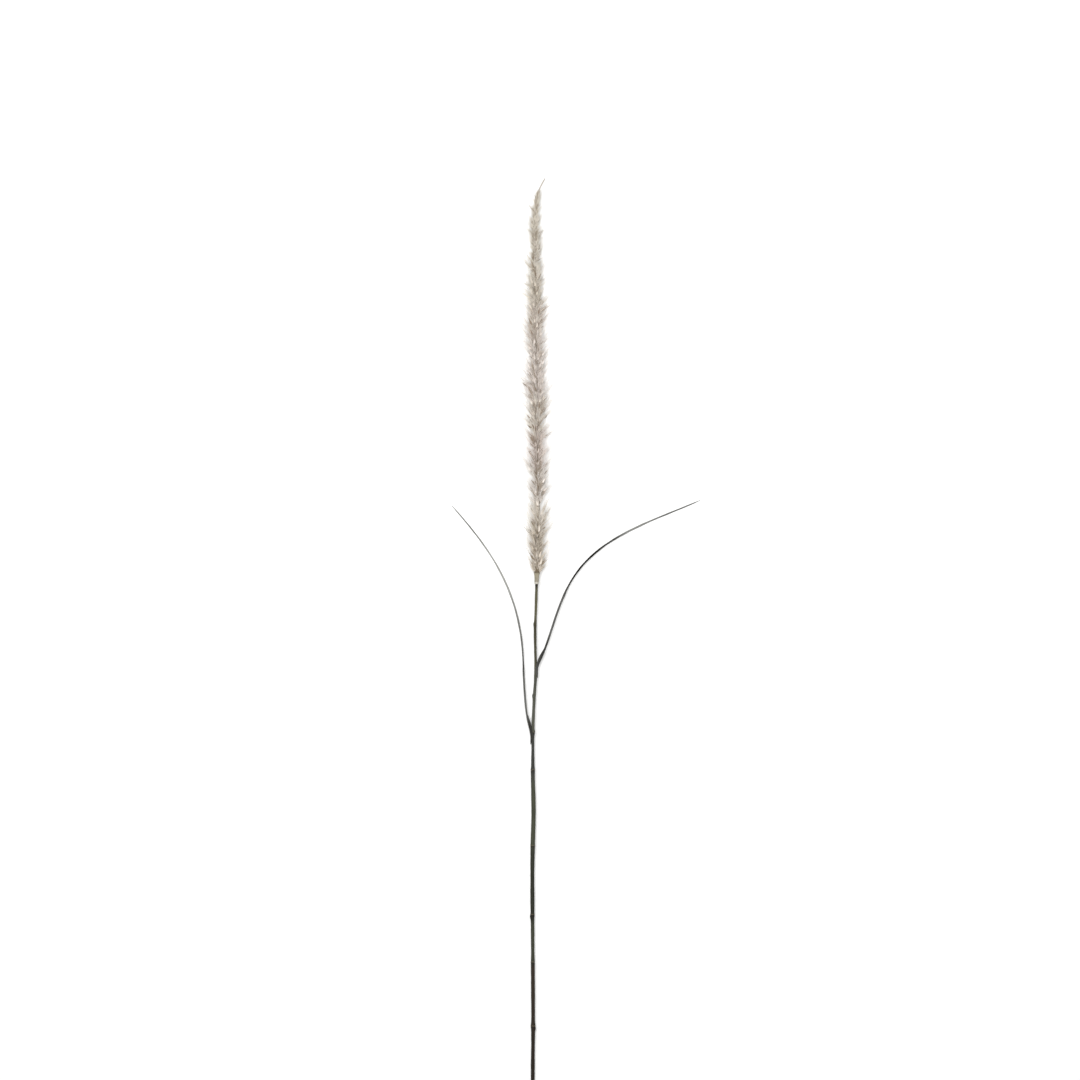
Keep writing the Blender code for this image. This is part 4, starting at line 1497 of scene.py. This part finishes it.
class GRASS_OT_bristles(bpy.types.Operator):
    """Makes the plume's bristles, tuft by tuft."""

    bl_idname = "grass.bristles"
    bl_label = "Make the bristles"

    def execute(self, context):
        settings = context.scene.grass.plume
        foot, pale = settings.foot, settings.cream
        material = strand_material("dry_bristle", settings, foot, pale, WORN_BRISTLE, BRISTLE_FOOT_END)
        for name, skin in zip(BRISTLE_NAMES, bristle_skins(settings)):
            dress(skin, f"plume_bristles_{name}", material, "plume")
        return {"FINISHED"}


class GRASS_OT_stage(bpy.types.Operator):
    """Makes the pale floor, the soft light and the camera that looks straight down."""

    bl_idname = "grass.stage"
    bl_label = "Make the stage"

    def execute(self, context):
        settings = context.scene.grass.stage
        make_floor(settings)
        make_light(settings)
        make_camera(settings)
        return {"FINISHED"}


class GRASS_PT_sidebar(bpy.types.Panel):
    """Lists the grass stem's operators and settings."""

    bl_idname = "GRASS_PT_sidebar"
    bl_label = "Dried fountain grass"
    bl_space_type = "VIEW_3D"
    bl_region_type = "UI"
    bl_category = "Grass stem"

    def draw(self, context):
        layout = self.layout
        settings = context.scene.grass
        for operator in OPERATORS:
            layout.operator(operator.bl_idname)
        for name in ("culm", "leaf", "collar", "plume", "stage"):
            group = getattr(settings, name)
            box = layout.box()
            box.label(text=name.capitalize())
            for prop in group.__annotations__:
                box.prop(group, prop)


OPERATORS = [
    GRASS_OT_culm,
    GRASS_OT_leaves,
    GRASS_OT_collar,
    GRASS_OT_plume_axis,
    GRASS_OT_spikelets,
    GRASS_OT_bristles,
    GRASS_OT_stage,
]
CLASSES = [
    GrassCulmSettings,
    GrassLeafSettings,
    GrassCollarSettings,
    GrassPlumeSettings,
    GrassStageSettings,
    GrassSettings,
    *OPERATORS,
    GRASS_PT_sidebar,
]


def register():
    """Adds the classes and the scene's settings."""
    for each in CLASSES:
        bpy.utils.register_class(each)
    bpy.types.Scene.grass = bpy.props.PointerProperty(type=GrassSettings)


def unregister():
    """Takes away the scene's settings and the classes."""
    del bpy.types.Scene.grass
    for each in reversed(CLASSES):
        bpy.utils.unregister_class(each)


def main():
    register()
    bpy.ops.grass.culm()
    bpy.ops.grass.leaves()
    bpy.ops.grass.collar()
    bpy.ops.grass.plume_axis()
    bpy.ops.grass.spikelets()
    bpy.ops.grass.bristles()
    bpy.ops.grass.stage()


if __name__ == "__main__":
    main()
